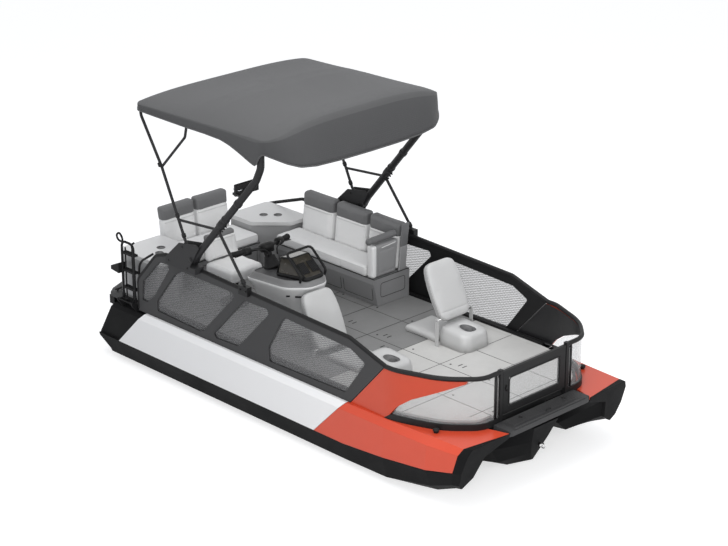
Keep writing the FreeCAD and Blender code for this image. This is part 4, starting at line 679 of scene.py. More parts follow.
# The seats are foam under stitched marine vinyl: light grey panels, darker grey head bands, piped
# seams, on grey moulded bases. Soft parts are filled by a short cloth simulation and then sewn.
def hide_of(name, colour, rough=0.46, wrinkle=0.35):
    """Marine vinyl: fine cells, soft wrinkles and a slightly uneven gloss."""
    material = finish_of(name, colour, rough=rough, vary=0.025, grain=1500.0, bump=0.06, patch=3.0,
                         shine=0.42)
    tree = material.node_tree
    shader = tree.nodes["Principled BSDF"]
    place = add_node(tree, "ShaderNodeTexCoord")
    cells = add_node(tree, "ShaderNodeTexVoronoi", Scale=520.0)
    folds = add_node(tree, "ShaderNodeTexNoise", Scale=11.0, Detail=3.0, Roughness=0.5)
    grain = add_node(tree, "ShaderNodeBump", Strength=0.12, Distance=0.001)
    wave = add_node(tree, "ShaderNodeBump", Strength=wrinkle, Distance=0.006)
    before = shader.inputs["Normal"].links[0].from_socket
    tree.links.new(place.outputs["Object"], cells.inputs["Vector"])
    tree.links.new(place.outputs["Object"], folds.inputs["Vector"])
    tree.links.new(before, grain.inputs["Normal"])
    tree.links.new(cells.outputs["Distance"], grain.inputs["Height"])
    tree.links.new(grain.outputs["Normal"], wave.inputs["Normal"])
    tree.links.new(folds.outputs["Fac"], wave.inputs["Height"])
    tree.links.new(wave.outputs["Normal"], shader.inputs["Normal"])
    return material


# The vinyl of the sofa, bench and helm seat is a brighter copy of the loungers' vinyl: painted light that
# makes up for the canopy's shade.
vinyl_light = hide_of("vinyl_light", (0.76, 0.76, 0.755))
vinyl_dark = hide_of("vinyl_dark", (0.13, 0.131, 0.133), rough=0.52)
piping_pale = finish_of("piping_pale", (0.62, 0.62, 0.615), rough=0.4, vary=0.03, grain=900.0, bump=0.1)


def from_bmesh(name, bm, material, body):
    """A new piece from a worked mesh, which rides with one body of the boat."""
    mesh = bpy.data.meshes.new(name)
    bm.to_mesh(mesh)
    bm.free()
    mesh.materials.append(material)
    thing = bpy.data.objects.new(name, mesh)
    scene.collection.objects.link(thing)
    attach(thing, body)
    return thing


def box_corners(x0, x1, y0, y1, z0, z1):
    """The four lower and the four upper corners of a box."""
    return [(x, y, z) for z in (z0, z1) for x, y in ((x0, y0), (x1, y0), (x1, y1), (x0, y1))]


def leaning(corners, lean_x=0.0, lean_y=0.0):
    """A block's corners with its upper four moved over, so that it leans."""
    return corners[:4] + [(x + lean_x, y + lean_y, z) for x, y, z in corners[4:]]


def soft_form(name, corners, soft_edge, material, body="boat"):
    """A rounded block from its four lower and four upper corners."""
    bm = bmesh.new()
    verts = [bm.verts.new(p) for p in corners]
    for face in ((3, 2, 1, 0), (4, 5, 6, 7), (0, 1, 5, 4), (1, 2, 6, 5), (2, 3, 7, 6), (3, 0, 4, 7)):
        bm.faces.new([verts[i] for i in face])
    bmesh.ops.recalc_face_normals(bm, faces=bm.faces)
    bmesh.ops.bevel(bm, geom=bm.edges[:], offset=soft_edge, segments=4, profile=0.5, affect="EDGES")
    return from_bmesh(name, bm, material, body)


def wall(axis, at, way):
    """A plane square to an axis, for plump: the filled piece stays on the side that the way gives."""
    number = "xyz".index(axis)
    point = tuple(at if k == number else 0 for k in range(3))
    return point, tuple(way if k == number else 0 for k in range(3))


fill_frames, fill_pressure = 20, 4.0


def plump(piece, cell, cap, stops):
    """Fills a soft piece: an even mesh, a short cloth simulation with air pressure, then held back
    to a cap and at the planes it lies against. Returns where each point was before it was filled."""
    even = piece.modifiers.new("even_cells", "REMESH")
    even.mode = "VOXEL"
    even.voxel_size = cell
    settle(piece)
    rest = [v.co.copy() for v in piece.data.vertices]
    fill = piece.modifiers.new("fill", "CLOTH")
    fill.settings.quality = 4
    fill.settings.mass = 0.3
    fill.settings.tension_stiffness = 18.0
    fill.settings.compression_stiffness = 18.0
    fill.settings.shear_stiffness = 8.0
    fill.settings.bending_stiffness = 0.6
    fill.settings.use_pressure = True
    fill.settings.uniform_pressure_force = fill_pressure
    fill.settings.effector_weights.gravity = 0.0
    fill.collision_settings.use_collision = False
    fill.point_cache.frame_start = 1
    fill.point_cache.frame_end = fill_frames
    for at in range(1, fill_frames + 1):
        scene.frame_set(at)
    graph = bpy.context.evaluated_depsgraph_get()
    shaped = piece.evaluated_get(graph).to_mesh()
    filled = [v.co.copy() for v in shaped.vertices]
    piece.evaluated_get(graph).to_mesh_clear()
    piece.modifiers.clear()
    scene.frame_set(1)
    for vert, was, now in zip(piece.data.vertices, rest, filled):
        move = now - was
        if move.length > cap:
            move = move.normalized() * cap
        at = was + move
        for point, normal in stops:
            past = (at - Vector(point)).dot(Vector(normal))
            if past < 0:
                at = at - Vector(normal) * past
        vert.co = at
    return rest


# A groove that stops short calls the points past its end this far off.
far_off = 1.0


def sew(piece, rest, grooves):
    """Draws narrow channels into a filled piece. Each groove is a function that tells how far a
    point lies from its line, a width and a depth."""
    piece.data.update()
    turned = [v.normal.copy() for v in piece.data.vertices]
    for vert, was, normal in zip(piece.data.vertices, rest, turned):
        for distance, width, depth in grooves:
            far = distance(was)
            if abs(far) < 3 * width:
                vert.co = vert.co - normal * depth * math.exp(-(far / width) ** 2)
    finer = piece.modifiers.new("finer", "SUBSURF")
    finer.levels = finer.render_levels = 1
    settle(piece)


def two_tone(piece, rest, is_second, second):
    """Gives the faces whose points lie in a second panel the second material."""
    piece.data.materials.append(second)
    for face in piece.data.polygons:
        if sum(1 for i in face.vertices if is_second(rest[i])) * 2 > len(face.vertices):
            face.material_index = 1


def piped(name, piece, lines, radius, material, body="boat"):
    """Piping laid on a filled piece along lines that are dropped on to its skin."""
    skin = BVHTree.FromObject(piece, bpy.context.evaluated_depsgraph_get())
    makers = []
    for line in lines:
        laid = []
        for at in line:
            spot, normal, _, _ = skin.find_nearest(Vector(at))
            laid.append(tuple(spot + normal * radius * 0.35))
        makers.append(bar(laid, radius, 8))
    return joined(name, makers, material, body)


def between(a, b, steps):
    """Points along a straight line."""
    return [tuple(Vector(a).lerp(Vector(b), i / steps)) for i in range(steps + 1)]


seat_x0, seat_x1, seat_y0, seat_y1, seat_z0, seat_z1 = -1.686, -0.295, 0.512, 0.868, 1.031, 1.137
seat_corners = box_corners(seat_x0, seat_x1, seat_y0, seat_y1, seat_z0, seat_z1)
sofa_cushion = soft_form("sofa_seat_pad", seat_corners, soft_edge=0.026, material=vinyl_light)
rest = plump(sofa_cushion, cell=0.014, cap=0.013,
             stops=[wall("z", seat_z0, 1), wall("x", seat_x1 + 0.003, -1), wall("x", seat_x0 - 0.003, 1),
                    wall("y", seat_y1 + 0.004, -1)])
sew(sofa_cushion, rest, [(lambda p: p.x + 1.19, 0.008, 0.008), (lambda p: p.x + 0.69, 0.008, 0.008),
                         (lambda p: (p.y - 0.575) if p.z > 1.09 else far_off, 0.009, 0.005)])
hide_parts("sofa_cushion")
seat_edge = between((seat_x0 + 0.03, seat_y0 - 0.004, seat_z1 - 0.002),
                    (seat_x1 - 0.03, seat_y0 - 0.004, seat_z1 - 0.002), 60)
piped("sofa_seat_piping", sofa_cushion, [seat_edge], radius=0.0035, material=piping_pale)

back_foot, back_top, back_lean, band_z = 1.031, 1.55, 0.05, 1.395
back_near, back_far = 0.872, 0.99
band_near = back_near + back_lean * (band_z - back_foot) / (back_top - back_foot) - 0.02
sofa_back_pieces = []
for number, (x0, x1) in enumerate(((-1.6865, -1.1865), (-1.1795, -0.6805), (-0.6735, -0.2)), 1):
    corners = box_corners(x0 + 0.004, x1 - 0.004, back_near, back_far, back_foot, back_top - 0.008)
    back = soft_form(f"sofa_back_{number}", leaning(corners, lean_y=back_lean), soft_edge=0.034,
                     material=vinyl_light)
    rest = plump(back, cell=0.0135, cap=0.012,
                 stops=[wall("x", x0 + 0.0005, 1), wall("x", x1 - 0.0005, -1), wall("z", 1.019, 1),
                        wall("z", 1.56, -1), wall("y", 1.04, -1)])
    two_tone(back, rest, lambda p: p.z > band_z, vinyl_dark)
    sew(back, rest,
        [(lambda p: p.z - band_z, 0.008, 0.009),
         (lambda p: p.z - 1.16 if p.y < 0.95 else far_off, 0.01, 0.003)])
    sofa_back_pieces.append(back)
    welts = [between((x0 + 0.012, band_near, band_z - drop), (x1 - 0.012, band_near, band_z - drop), 30)
             for drop in (0.012, 0.02)]
    piped(f"sofa_back_piping_{number}", back, welts, radius=0.003, material=piping_pale)
for back in sofa_back_pieces:
    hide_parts("sofa_backs")


# The stern bench repeats the sofa: one seat cushion with a middle seam and two leaning backs with
# dark head bands, on a plain moulded box between the corner tables.
vinyl_grey = hide_of("vinyl_grey", (0.25, 0.25, 0.252), rough=0.5)


def padded_box(name, low, high, edge, cell, cap, grooves, material, body="boat"):
    """A box cushion inside its two corners: filled until it lies against them, then sewn."""
    inset = 0.009
    corners = box_corners(low[0] + inset, high[0] - inset, low[1] + inset, high[1] - inset,
                          low[2] + 0.001, high[2] - inset)
    piece = soft_form(name, corners, soft_edge=edge, material=material, body=body)
    stops = []
    for axis, near, far in zip("xyz", low, high):
        stops += [wall(axis, near, 1), wall(axis, far, -1)]
    rest = plump(piece, cell=cell, cap=cap, stops=stops)
    sew(piece, rest, grooves)
    return piece


bench_half, bench_gap, bench_seat_z = 0.459, 0.006, 1.0108
bench_foot, bench_top, bench_band, bench_lean = 1.014, 1.498, 1.345, 0.054
bench_seams = [(lambda p: p.y, 0.008, 0.009),
               (lambda p: (p.x + 1.905) if p.z > 1.08 else far_off, 0.009, 0.005)]
bench_pad = padded_box("bench_seat_pad", (-2.309, -0.4615, bench_seat_z), (-1.846, 0.4615, 1.1248),
                       edge=0.024, cell=0.014, cap=0.012, grooves=bench_seams, material=vinyl_light)
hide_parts("bench_cushion")
bench_edge = between((-1.852, -0.43, 1.108), (-1.852, 0.43, 1.108), 50)
piped("bench_seat_piping", bench_pad, [bench_edge], radius=0.0035, material=piping_pale)
bench_back_pieces = []
for number, (y0, y1) in enumerate(((-bench_half, -bench_gap), (bench_gap, bench_half)), 1):
    corners = box_corners(-2.327, -2.433, y0, y1, bench_foot, bench_top)
    back = soft_form(f"bench_back_{number}", leaning(corners, lean_x=-bench_lean), soft_edge=0.03,
                     material=vinyl_light)
    rest = plump(back, cell=0.0135, cap=0.01,
                 stops=[wall("y", y0 - 0.0025, 1), wall("y", y1 + 0.0025, -1),
                        wall("z", bench_seat_z, 1), wall("z", 1.515, -1)])
    two_tone(back, rest, lambda p: p.z > bench_band, vinyl_dark)
    sew(back, rest, [(lambda p: p.z - bench_band, 0.008, 0.009),
                     (lambda p: p.z - 1.13 if p.x > -2.39 else far_off, 0.01, 0.003)])
    bench_back_pieces.append(back)
    welts = [between((-2.35, y0 + 0.012, bench_band - drop), (-2.35, y1 - 0.012, bench_band - drop), 30)
             for drop in (0.012, 0.021)]
    piped(f"bench_back_piping_{number}", back, welts, radius=0.003, material=piping_pale)
for back in bench_back_pieces:
    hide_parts("bench_backs")

# The sofa ends in a padded armrest: a grey stitched panel with a pale inboard edge and a pull
# slot, a thick roll on top, and a dark wing that wraps the end of the last back.
arm_x0, arm_x1, arm_foot, arm_top = -0.287, -0.193, 1.034, 1.396
arm_seam_y, wing_seam_z = 0.572, 1.3


def soft_roll(base, axis, length, radius, end_steps=6):
    """A turned roll with softly rounded ends."""
    ends = []
    for i in range(end_steps + 1):
        turn = math.pi / 2 * i / end_steps
        ends.append((radius * 0.7 * (1 - math.cos(turn)), max(0.002, radius * math.sin(turn))))
    profile = ends + [(length - far, wide) for far, wide in reversed(ends)]
    return lathe(base, axis, profile, 20)


def arm_inset(p):
    """How far a point lies outside the stitched oblong on the armrest's end."""
    if p.x < -0.22:
        return far_off
    return max(abs(p.y - 0.725) - 0.115, abs(p.z - 1.2) - 0.12)


corners = [(arm_x0, 0.514, arm_foot), (arm_x1, 0.514, arm_foot), (arm_x1, 0.858, arm_foot),
           (arm_x0, 0.858, arm_foot), (arm_x0, 0.51, arm_top), (arm_x1, 0.51, arm_top),
           (arm_x1, 0.893, arm_top), (arm_x0, 0.893, arm_top)]
arm_pad = soft_form("sofa_arm_pad", corners, soft_edge=0.022, material=vinyl_grey)
along_back = ((0, 0.863, arm_foot), (0, -0.995, 0.096))
rest = plump(arm_pad, cell=0.0125, cap=0.006,
             stops=[wall("x", arm_x0 - 0.002, 1), wall("x", arm_x1 + 0.002, -1), wall("z", 1.0315, 1),
                    along_back])
two_tone(arm_pad, rest, lambda p: p.y < arm_seam_y, vinyl_light)
sew(arm_pad, rest, [(lambda p: p.y - arm_seam_y, 0.007, 0.007), (arm_inset, 0.008, 0.006)])
roll_points, roll_faces = soft_roll((-0.24, 0.474, 1.4375), (0, 1, 0.02), length=0.415, radius=0.038)
arm_roll = add_piece("sofa_arm_roll", roll_points, roll_faces, vinyl_dark)
rest = plump(arm_roll, cell=0.011, cap=0.003, stops=[wall("z", 1.4, 1)])
sew(arm_roll, rest, [(lambda p: p.y - 0.52, 0.006, 0.004), (lambda p: p.y - 0.84, 0.006, 0.004)])
wing_corners = leaning(box_corners(-0.1985, -0.1765, 0.871, 0.988, 1.033, 1.545), lean_y=back_lean)
wing = soft_form("sofa_wing", wing_corners, soft_edge=0.009, material=vinyl_dark)
rest = plump(wing, cell=0.0095, cap=0.004,
             stops=[wall("x", -0.1995, 1), wall("x", -0.1745, -1), wall("z", 1.031, 1)])
two_tone(wing, rest, lambda p: p.z < wing_seam_z, vinyl_grey)
sew(wing, rest, [(lambda p: p.z - wing_seam_z, 0.007, 0.005)])
for piece in (arm_pad, arm_roll):
    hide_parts("sofa_arm")
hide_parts("sofa_backs")
pull_path = [(-0.196, 0.64, 1.355), (-0.1905, 0.655, 1.357), (-0.1905, 0.825, 1.368), (-0.196, 0.84, 1.37)]
joined("sofa_arm_pull", [bar(bent(pull_path, 0.008), 0.0085, 10, flat=0.6)], piping_pale)

# The seat bases are rotomoulded grey plastic boxes, set back at the foot, with shallow panel
# recesses whose edges are drawn as dark lines of painted shade, and a painted shadow line under the
# cushions. The corner tables are white with two cups; their sides below the rim are painted grey as shade.
base_grey = finish_of("base_grey", (0.22, 0.22, 0.222), rough=0.5, vary=0.05, grain=700.0, bump=0.25,
                      round_edges=0.012, shine=0.4)
# This black is painted shade where it draws recess edges, gaps under cushions and the console's slots, and
# the display's own dark marks where it draws the gauges.
shade_and_print_black = finish_of("shade_and_print_black", (0.015, 0.015, 0.016), rough=0.7, vary=0.08, grain=500.0, bump=0.15,
                      shine=0.2)
paint("sofa_base", base_grey)
paint("bench_base", base_grey)


def ring_line(corners, turn, steps=5):
    """A closed line with rounded corners."""
    line = [Vector(p) for p in corners]
    path = []
    for i, corner in enumerate(line):
        path += rounded(line[i - 1], corner, line[(i + 1) % len(line)], turn, steps)
    return path


def groove(corners, radius):
    """A dark line painted round a shallow panel recess, as the shade in its edge."""
    return bar(ring_line(corners, 0.03), radius, 6, closed=True)


arm_end_x, bench_front_x, sofa_foot_y = -0.1898, -1.8698, 0.538
recess_shade = [groove([(arm_end_x, 0.63, 0.81), (arm_end_x, 0.98, 0.81), (arm_end_x, 0.98, 0.965),
                    (arm_end_x, 0.63, 0.965)], 0.0028)]
for x0, x1 in ((-1.66, -1.2), (-1.16, -0.7), (-0.66, -0.23)):
    recess_shade.append(groove([(x0, 0.5605, 0.78), (x1, 0.5605, 0.78), (x1, 0.539, 0.955),
                            (x0, 0.539, 0.955)], 0.0022))
# Painted shadow lines under the bench cushion and under the sofa cushion.
recess_shade.append(bar([(-1.8685, -0.46, 1.006), (-1.8685, 0.46, 1.006)], 0.004, 6))
sofa_gap_shade = [(-1.688, sofa_foot_y, 1.0275), (-0.191, sofa_foot_y, 1.0275), (-0.191, 1.04, 1.0275)]
recess_shade.append(bar(sofa_gap_shade, 0.004, 6))
for y in (-0.23, 0.23):
    panel = [(bench_front_x, y - 0.19, 0.78), (bench_front_x, y + 0.19, 0.78),
             (bench_front_x, y + 0.19, 0.95), (bench_front_x, y - 0.19, 0.95)]
    recess_shade.append(groove(panel, 0.0024))
joined("seat_base_recess_shade", recess_shade, shade_and_print_black)


def shaded_below(material, height, side, blend=0.004):
    """A darker colour painted on everything below a height, as shade."""
    tree = material.node_tree
    place = add_node(tree, "ShaderNodeTexCoord")
    spot = add_node(tree, "ShaderNodeSeparateXYZ")
    band = add_node(tree, "ShaderNodeMapRange")
    band.inputs["From Min"].default_value = height - blend
    band.inputs["From Max"].default_value = height
    tree.links.new(place.outputs["Object"], spot.inputs["Vector"])
    tree.links.new(spot.outputs["Z"], band.inputs["Value"])
    return recoloured(material, band.outputs["Result"], side, keep="B", second="A")


# The white tables' sides below the rim are painted grey as shade; the tops keep the white.
table_top, table_rim = 1.2, 1.158
table_white = finish_of("table_white", (0.66, 0.66, 0.655), rough=0.34, vary=0.015, grain=900.0, bump=0.04,
                        round_edges=0.01)
paint("corner_tables", shaded_below(table_white, table_rim, (0.38, 0.38, 0.382, 1.0)))
cup_grey = finish_of("cup_grey", (0.09, 0.09, 0.092), rough=0.42, vary=0.05, grain=700.0, bump=0.1)
cup_radius, cup_depth = 0.0405, 0.066
cup_profile = [(0.001, cup_radius + 0.006), (0.003, cup_radius + 0.004), (0.003, cup_radius),
               (-cup_depth, cup_radius - 0.002), (-cup_depth - 0.001, 0.004)]
cup_places = [(x, y * side, table_top) for x, y in ((-2.09, 0.715), (-1.98, 0.825)) for side in (-1, 1)]
cups = [lathe(place, upward, cup_profile, 28) for place in cup_places]
joined("table_cups", cups, cup_grey)

# The helm seat is a swivelling bucket on a black post: foam on a moulded pan, with stitched seams
# between its side bolsters and its centre panel, and a dark head band.
helm_seam_z = 1.13
helm_seams = [(lambda p: (p.y + 0.555) if p.z > helm_seam_z else far_off, 0.008, 0.007),
              (lambda p: (p.y + 0.245) if p.z > helm_seam_z else far_off, 0.008, 0.007),
              (lambda p: (p.x + 1.16) if p.z > helm_seam_z else far_off, 0.008, 0.006),
              (lambda p: p.z - 1.075, 0.006, 0.005)]
helm_pad = padded_box("helm_seat_pad", (-1.519, -0.6345, 1.0315), (-1.066, -0.1655, 1.1745), edge=0.034,
                      cell=0.0135, cap=0.012, grooves=helm_seams, material=vinyl_light, body="helm_chair")
helm_band, helm_back_foot, helm_back_top = 1.4, 1.178, 1.452
corners = box_corners(-1.522, -1.442, -0.622, -0.178, helm_back_foot, helm_back_top)
corners = corners[:4] + [(x - 0.05, y * 0.9 - 0.04, z) for x, y, z in corners[4:]]
helm_back = soft_form("helm_seat_back", corners, soft_edge=0.032, material=vinyl_light, body="helm_chair")
rest = plump(helm_back, cell=0.0125, cap=0.01,
             stops=[wall("z", 1.176, 1), wall("z", 1.462, -1), wall("y", -0.632, 1), wall("y", -0.168, -1)])
two_tone(helm_back, rest, lambda p: p.z > helm_band or p.x + 0.18 * (p.z - helm_back_foot) < -1.492,
         vinyl_dark)
sew(helm_back, rest, [(lambda p: p.z - helm_band, 0.007, 0.008),
                      (lambda p: (p.y + 0.53) if p.x > -1.5 and p.z < 1.39 else far_off, 0.008, 0.006),
                      (lambda p: (p.y + 0.27) if p.x > -1.5 and p.z < 1.39 else far_off, 0.008, 0.006)])
for piece in (helm_pad, helm_back):
    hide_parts("helm_seat")
helm_welts = [between((-1.46, -0.6, z), (-1.46, -0.2, z), 30) for z in (1.391, 1.382)]
piped("helm_seat_piping", helm_back, helm_welts, radius=0.003, material=piping_pale, body="helm_chair")


def cast_ring(plan, centre, count):
    """Points round a closed outline, one for each direction from a centre inside it."""
    ring = []
    for i in range(count):
        turn = 2 * math.pi * i / count
        dx, dy = math.cos(turn), math.sin(turn)
        best = None
        for k, (ax, ay) in enumerate(plan):
            bx, by = plan[(k + 1) % len(plan)]
            cross = dx * (by - ay) - dy * (bx - ax)
            if abs(cross) < 1e-12:
                continue
            far = ((ax - centre[0]) * (by - ay) - (ay - centre[1]) * (bx - ax)) / cross
            along = ((ax - centre[0]) * dy - (ay - centre[1]) * dx) / cross
            if far > 0 and -1e-9 <= along <= 1 + 1e-9 and (best is None or far < best):
                best = far
        ring.append((centre[0] + dx * best, centre[1] + dy * best))
    return ring


def moulded(name, rings, materials, bands):
    """A closed moulding from rings of points; a band gives the material of the faces after a ring."""
    count = len(rings[0])
    points = [p for ring in rings for p in ring]
    faces = [tuple(range(count))[::-1]]
    picks = [0]
    for row in range(len(rings) - 1):
        for i in range(count):
            j = (i + 1) % count
            faces.append((row * count + i, row * count + j, (row + 1) * count + j, (row + 1) * count + i))
            picks.append(bands[row])
    faces.append(tuple((len(rings) - 1) * count + i for i in range(count)))
    picks.append(bands[-1])
    thing = add_piece(name, points, faces, materials[0])
    for material in materials[1:]:
        thing.data.materials.append(material)
    thing.data.polygons.foreach_set("material_index", picks)
    return thing


# The console is a white rotomoulding that flares to a rounded lip round a dark grey dash, with a
# cup well beside the bars. Low on its flanks are storage recesses whose edges and slots are drawn as dark
# painted shade.
console_white = finish_of("console_white", (0.66, 0.66, 0.655), rough=0.32, vary=0.015, grain=900.0,
                          bump=0.04)
dash_grey = finish_of("dash_grey", (0.055, 0.055, 0.057), rough=0.5, vary=0.06, grain=800.0, bump=0.25,
                      shine=0.4)
plastic_black = finish_of("plastic_black", (0.008, 0.008, 0.0085), rough=0.48, vary=0.1, grain=700.0,
                          bump=0.15, shine=0.22)
helm_y, console_steps, console_turn = -0.4, 128, 0.07
console_aft, console_shoulder, console_nose, console_flank, nose_half = -0.74, -0.29, -0.09, 0.205, 0.09
tip_start, tip_run, dash_tip = -0.85, 0.89, 0.06
cup_at, cup_ring = (-0.72, -0.23), 0.044


def console_ring(height, grow, rise):
    """One level of the console: its rounded plan, grown all round and tipped up to the nose."""
    flank, nose_flank = console_flank + grow, nose_half + grow * 0.3
    plan = [(console_aft - grow, -flank), (console_aft - grow, flank), (console_shoulder + grow, flank),
            (console_nose + grow, nose_flank), (console_nose + grow, -nose_flank),
            (console_shoulder + grow, -flank)]
    outline = [(x, y) for x, y, z in ring_line([(x, y + helm_y, 0) for x, y in plan], console_turn)]
    ring = cast_ring(outline, (-0.5, helm_y), console_steps)
    return [(x, y, height + rise * (x - tip_start) / tip_run) for x, y in ring]


# Each level is its height, how far the plan grows and how much the nose tips up. The white wall
# flares to a grey lip, which rolls over to the dash, and the dash runs in to the cup well.
levels = [(0.7205, -0.03, 0.0), (0.78, -0.028, 0.0), (0.9, -0.018, 0.0), (1.02, -0.004, 0.0),
          (1.1, 0.016, 0.015), (1.165, 0.046, 0.042), (1.2, 0.066, 0.058), (1.212, 0.0695, 0.06),
          (1.222, 0.0685, 0.06), (1.228, 0.064, 0.06), (1.231, 0.058, 0.06), (1.252, 0.043, 0.06),
          (1.272, 0.031, 0.06), (1.284, 0.024, 0.06), (1.2865, 0.019, 0.06), (1.284, 0.015, 0.06),
          (1.279, 0.013, 0.06), (1.279, 0.006, 0.06)]
rings = [console_ring(*level) for level in levels]
edge_ring = rings[-1]
dash_z = levels[-1][0]
for part in (0.45, 0.8, 0.93):
    ring = []
    for (x, y, z), (cup_x, cup_y) in zip(edge_ring, circle(cup_at, cup_ring, console_steps)):
        dash_x = x + (cup_x - x) * part
        ring.append((dash_x, y + (cup_y - y) * part, dash_z + dash_tip * (dash_x - tip_start) / tip_run))
    rings.append(ring)
well_z = 1.2875
for radius, drop in ((0.0465, 0.0), (0.0455, 0.0025), (0.042, 0.0025), (0.041, -0.004), (0.039, -0.06)):
    rings.append([(x, y, well_z + drop) for x, y in circle(cup_at, radius, console_steps)])
white_rows, lip_rows, dash_rows, well_rows = 9, 5, 6, 6
bands = [0] * white_rows + [3] * lip_rows + [1] * dash_rows + [2] * well_rows
lip_grey = finish_of("lip_grey", (0.2, 0.2, 0.2), rough=0.45, vary=0.03, grain=800.0, bump=0.15, shine=0.4)
console_body = moulded("console_body", rings, [console_white, dash_grey, plastic_black, lip_grey], bands)
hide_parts("console")
# The storage recesses' edges and their slots are dark lines of painted shade.
slots = []
for side in (-1, 1):
    y = helm_y + 0.197 * side
    high_y = y + 0.003 * side
    slots.append(bar(ring_line([(-0.3, y, 0.9), (-0.52, y, 0.9), (-0.52, high_y, 1.0),
                                (-0.3, high_y, 1.0)], 0.03), 0.004, 6, closed=True))
    for x in (-0.36, -0.43):
        slots.append(bar([(x, high_y, 0.94), (x + 0.03, y + 0.004 * side, 0.965)], 0.009, 8, flat=0.5))
for x, y, long in ((-0.24, -0.632, 0.03), (-0.165, -0.58, 0.065)):
    slots.append(bar([(x, y, 1.168), (x + long, y + long * 0.715, 1.171)], 0.013, 10, flat=0.7))
joined("console_slots", slots, shade_and_print_black)

# The display sits under a tinted visor in a black surround, and a thick black grab bar loops round
# it. The handlebar stands on a rubber boot and carries grips, switch blocks, levers and two hoses.
visor_tint = finish_of("visor_tint", (0.045, 0.04, 0.031), rough=0.12, vary=0.25, grain=60.0, bump=0.05,
                       patch=14.0, coat=0.6, round_edges=0.006)
pod_bar = 0.009
paint("display_pod", visor_tint)
paint("grab_bar", plastic_black)
paint("steering_column", plastic_black)
paint("handlebar", plastic_black)
paint("helm_pedestal", plastic_black)
pod_high = [(-0.43, -0.53, 1.5), (-0.43, -0.27, 1.5), (-0.29, -0.285, 1.52), (-0.29, -0.515, 1.52)]
pod_low = [(-0.462, -0.55, 1.32), (-0.462, -0.25, 1.32), (-0.075, -0.29, 1.352), (-0.075, -0.51, 1.352)]
frame_bars = [bar(ring_line(pod_high, 0.03), pod_bar, 8, closed=True)]
frame_bars += [bar([high, low], pod_bar, 8) for high, low in zip(pod_high, pod_low)]
frame_bars.append(bar(ring_line(pod_low, 0.04), 0.021, 10, closed=True))
joined("pod_surround", frame_bars, plastic_black)
gauge_lift, gauge_strips, strip_pitch = Vector((0.0045, 0, 0.0055)), 5, 0.018
gauges = []
for y in (-0.46, -0.34):
    glass_high, glass_low = Vector((-0.285, y, 1.522)), Vector((-0.075, y, 1.354))
    ends = [glass_high.lerp(glass_low, share) + gauge_lift for share in (0.3, 0.78)]
    for k in range(gauge_strips):
        off = Vector((0, (k - 2) * strip_pitch, 0))
        gauges.append(bar([tuple(end + off) for end in ends], 0.009, 6, flat=0.25))
joined("pod_gauges", gauges, shade_and_print_black)


def along_bar(side, share):
    """A point of the handlebar's arm, from the end of its grip to where it meets the middle."""
    end = Vector((-0.9, helm_y + 0.39 * side, 1.458))
    near = Vector((-0.8, helm_y + 0.12 * side, 1.482))
    return end.lerp(near, share)


grip_ribs, column_axis = 8, (-0.42, 0, 0.906)
switch_profile = [(0, 0.034), (0.004, 0.042), (0.07, 0.042), (0.076, 0.032)]
head_profile = [(0, 0.05), (0.008, 0.07), (0.05, 0.082), (0.075, 0.08), (0.092, 0.062), (0.096, 0.04)]
boot_profile = [(0, 0.1), (0.01, 0.1), (0.03, 0.082), (0.06, 0.07), (0.085, 0.062), (0.12, 0.056),
                (0.125, 0.046)]
grips, levers = [], []
for side in (-1, 1):
    start, stop = along_bar(side, 0.0), along_bar(side, 0.52)
    axis = (stop - start).normalized()
    long = (stop - start).length
    profile = [(0.0, 0.022), (0.004, 0.033), (0.012, 0.033), (0.016, 0.027)]
    for k in range(grip_ribs):
        at = 0.022 + k * (long - 0.045) / grip_ribs
        profile += [(at, 0.0295), (at + 0.004, 0.027)]
    profile += [(long - 0.012, 0.029), (long - 0.008, 0.036), (long, 0.036)]
    grips.append(lathe(tuple(start), tuple(axis), profile, 18))
    block = along_bar(side, 0.62)
    levers.append(lathe(tuple(block - axis * 0.03), tuple(axis), switch_profile, 18))
    lever_tip = along_bar(side, 0.05) + Vector((0.055, 0, -0.012))
    lever_path = [block, block + Vector((0.05, 0, 0.004)), lever_tip]
    levers.append(bar(bent(lever_path, 0.03), 0.0075, 8, flat=0.6))
    hose_y = helm_y + 0.06 * side
    hose_path = [block + Vector((0.01, 0, 0.01)), (-0.735, helm_y + 0.15 * side, 1.505),
                 (-0.7, hose_y, 1.48), (-0.69, hose_y, 1.415)]
    levers.append(bar(bent(hose_path, 0.05), 0.007, 8))
levers.append(lathe((-0.765, helm_y, 1.438), column_axis, head_profile, 28))
joined("bar_grips", grips, rub_black, "steering")
joined("bar_levers", levers, plastic_black, "steering")
joined("column_boot", [lathe((-0.695, helm_y, 1.285), column_axis, boot_profile, 28)], rub_black)

# The bow loungers have foam backs on a hinge, each a rounded tombstone with a stitched side band
# painted darker as shade, and low pads of the same vinyl. A steel pin runs through the foot of each back.
# The loungers' vinyl is the same light grey vinyl, without the painted light of the seats under the canopy.
vinyl_bow = hide_of("vinyl_bow", (0.5, 0.5, 0.495))
# The side band's vinyl is the loungers' vinyl darkened: painted shade on the edges of each back.
vinyl_side_shade = hide_of("vinyl_side_shade", (0.38, 0.38, 0.378))
lounger_y, back_turn, back_half_thick = 0.53, math.radians(-26), 0.04
hinge_at = {-1: (0.305, 0.787), 1: (0.945, 0.992)}
back_out = Vector((math.cos(back_turn), 0, -math.sin(back_turn)))
back_up = Vector((math.sin(back_turn), 0, math.cos(back_turn)))


def on_back(side, out, across, up):
    """A point of a lounger's back: out of its face, across it and up it from the hinge."""
    hinge_x, hinge_z = hinge_at[side]
    x = hinge_x + out * math.cos(back_turn) + up * math.sin(back_turn)
    z = hinge_z - out * math.sin(back_turn) + up * math.cos(back_turn)
    return x, lounger_y * side + across, z


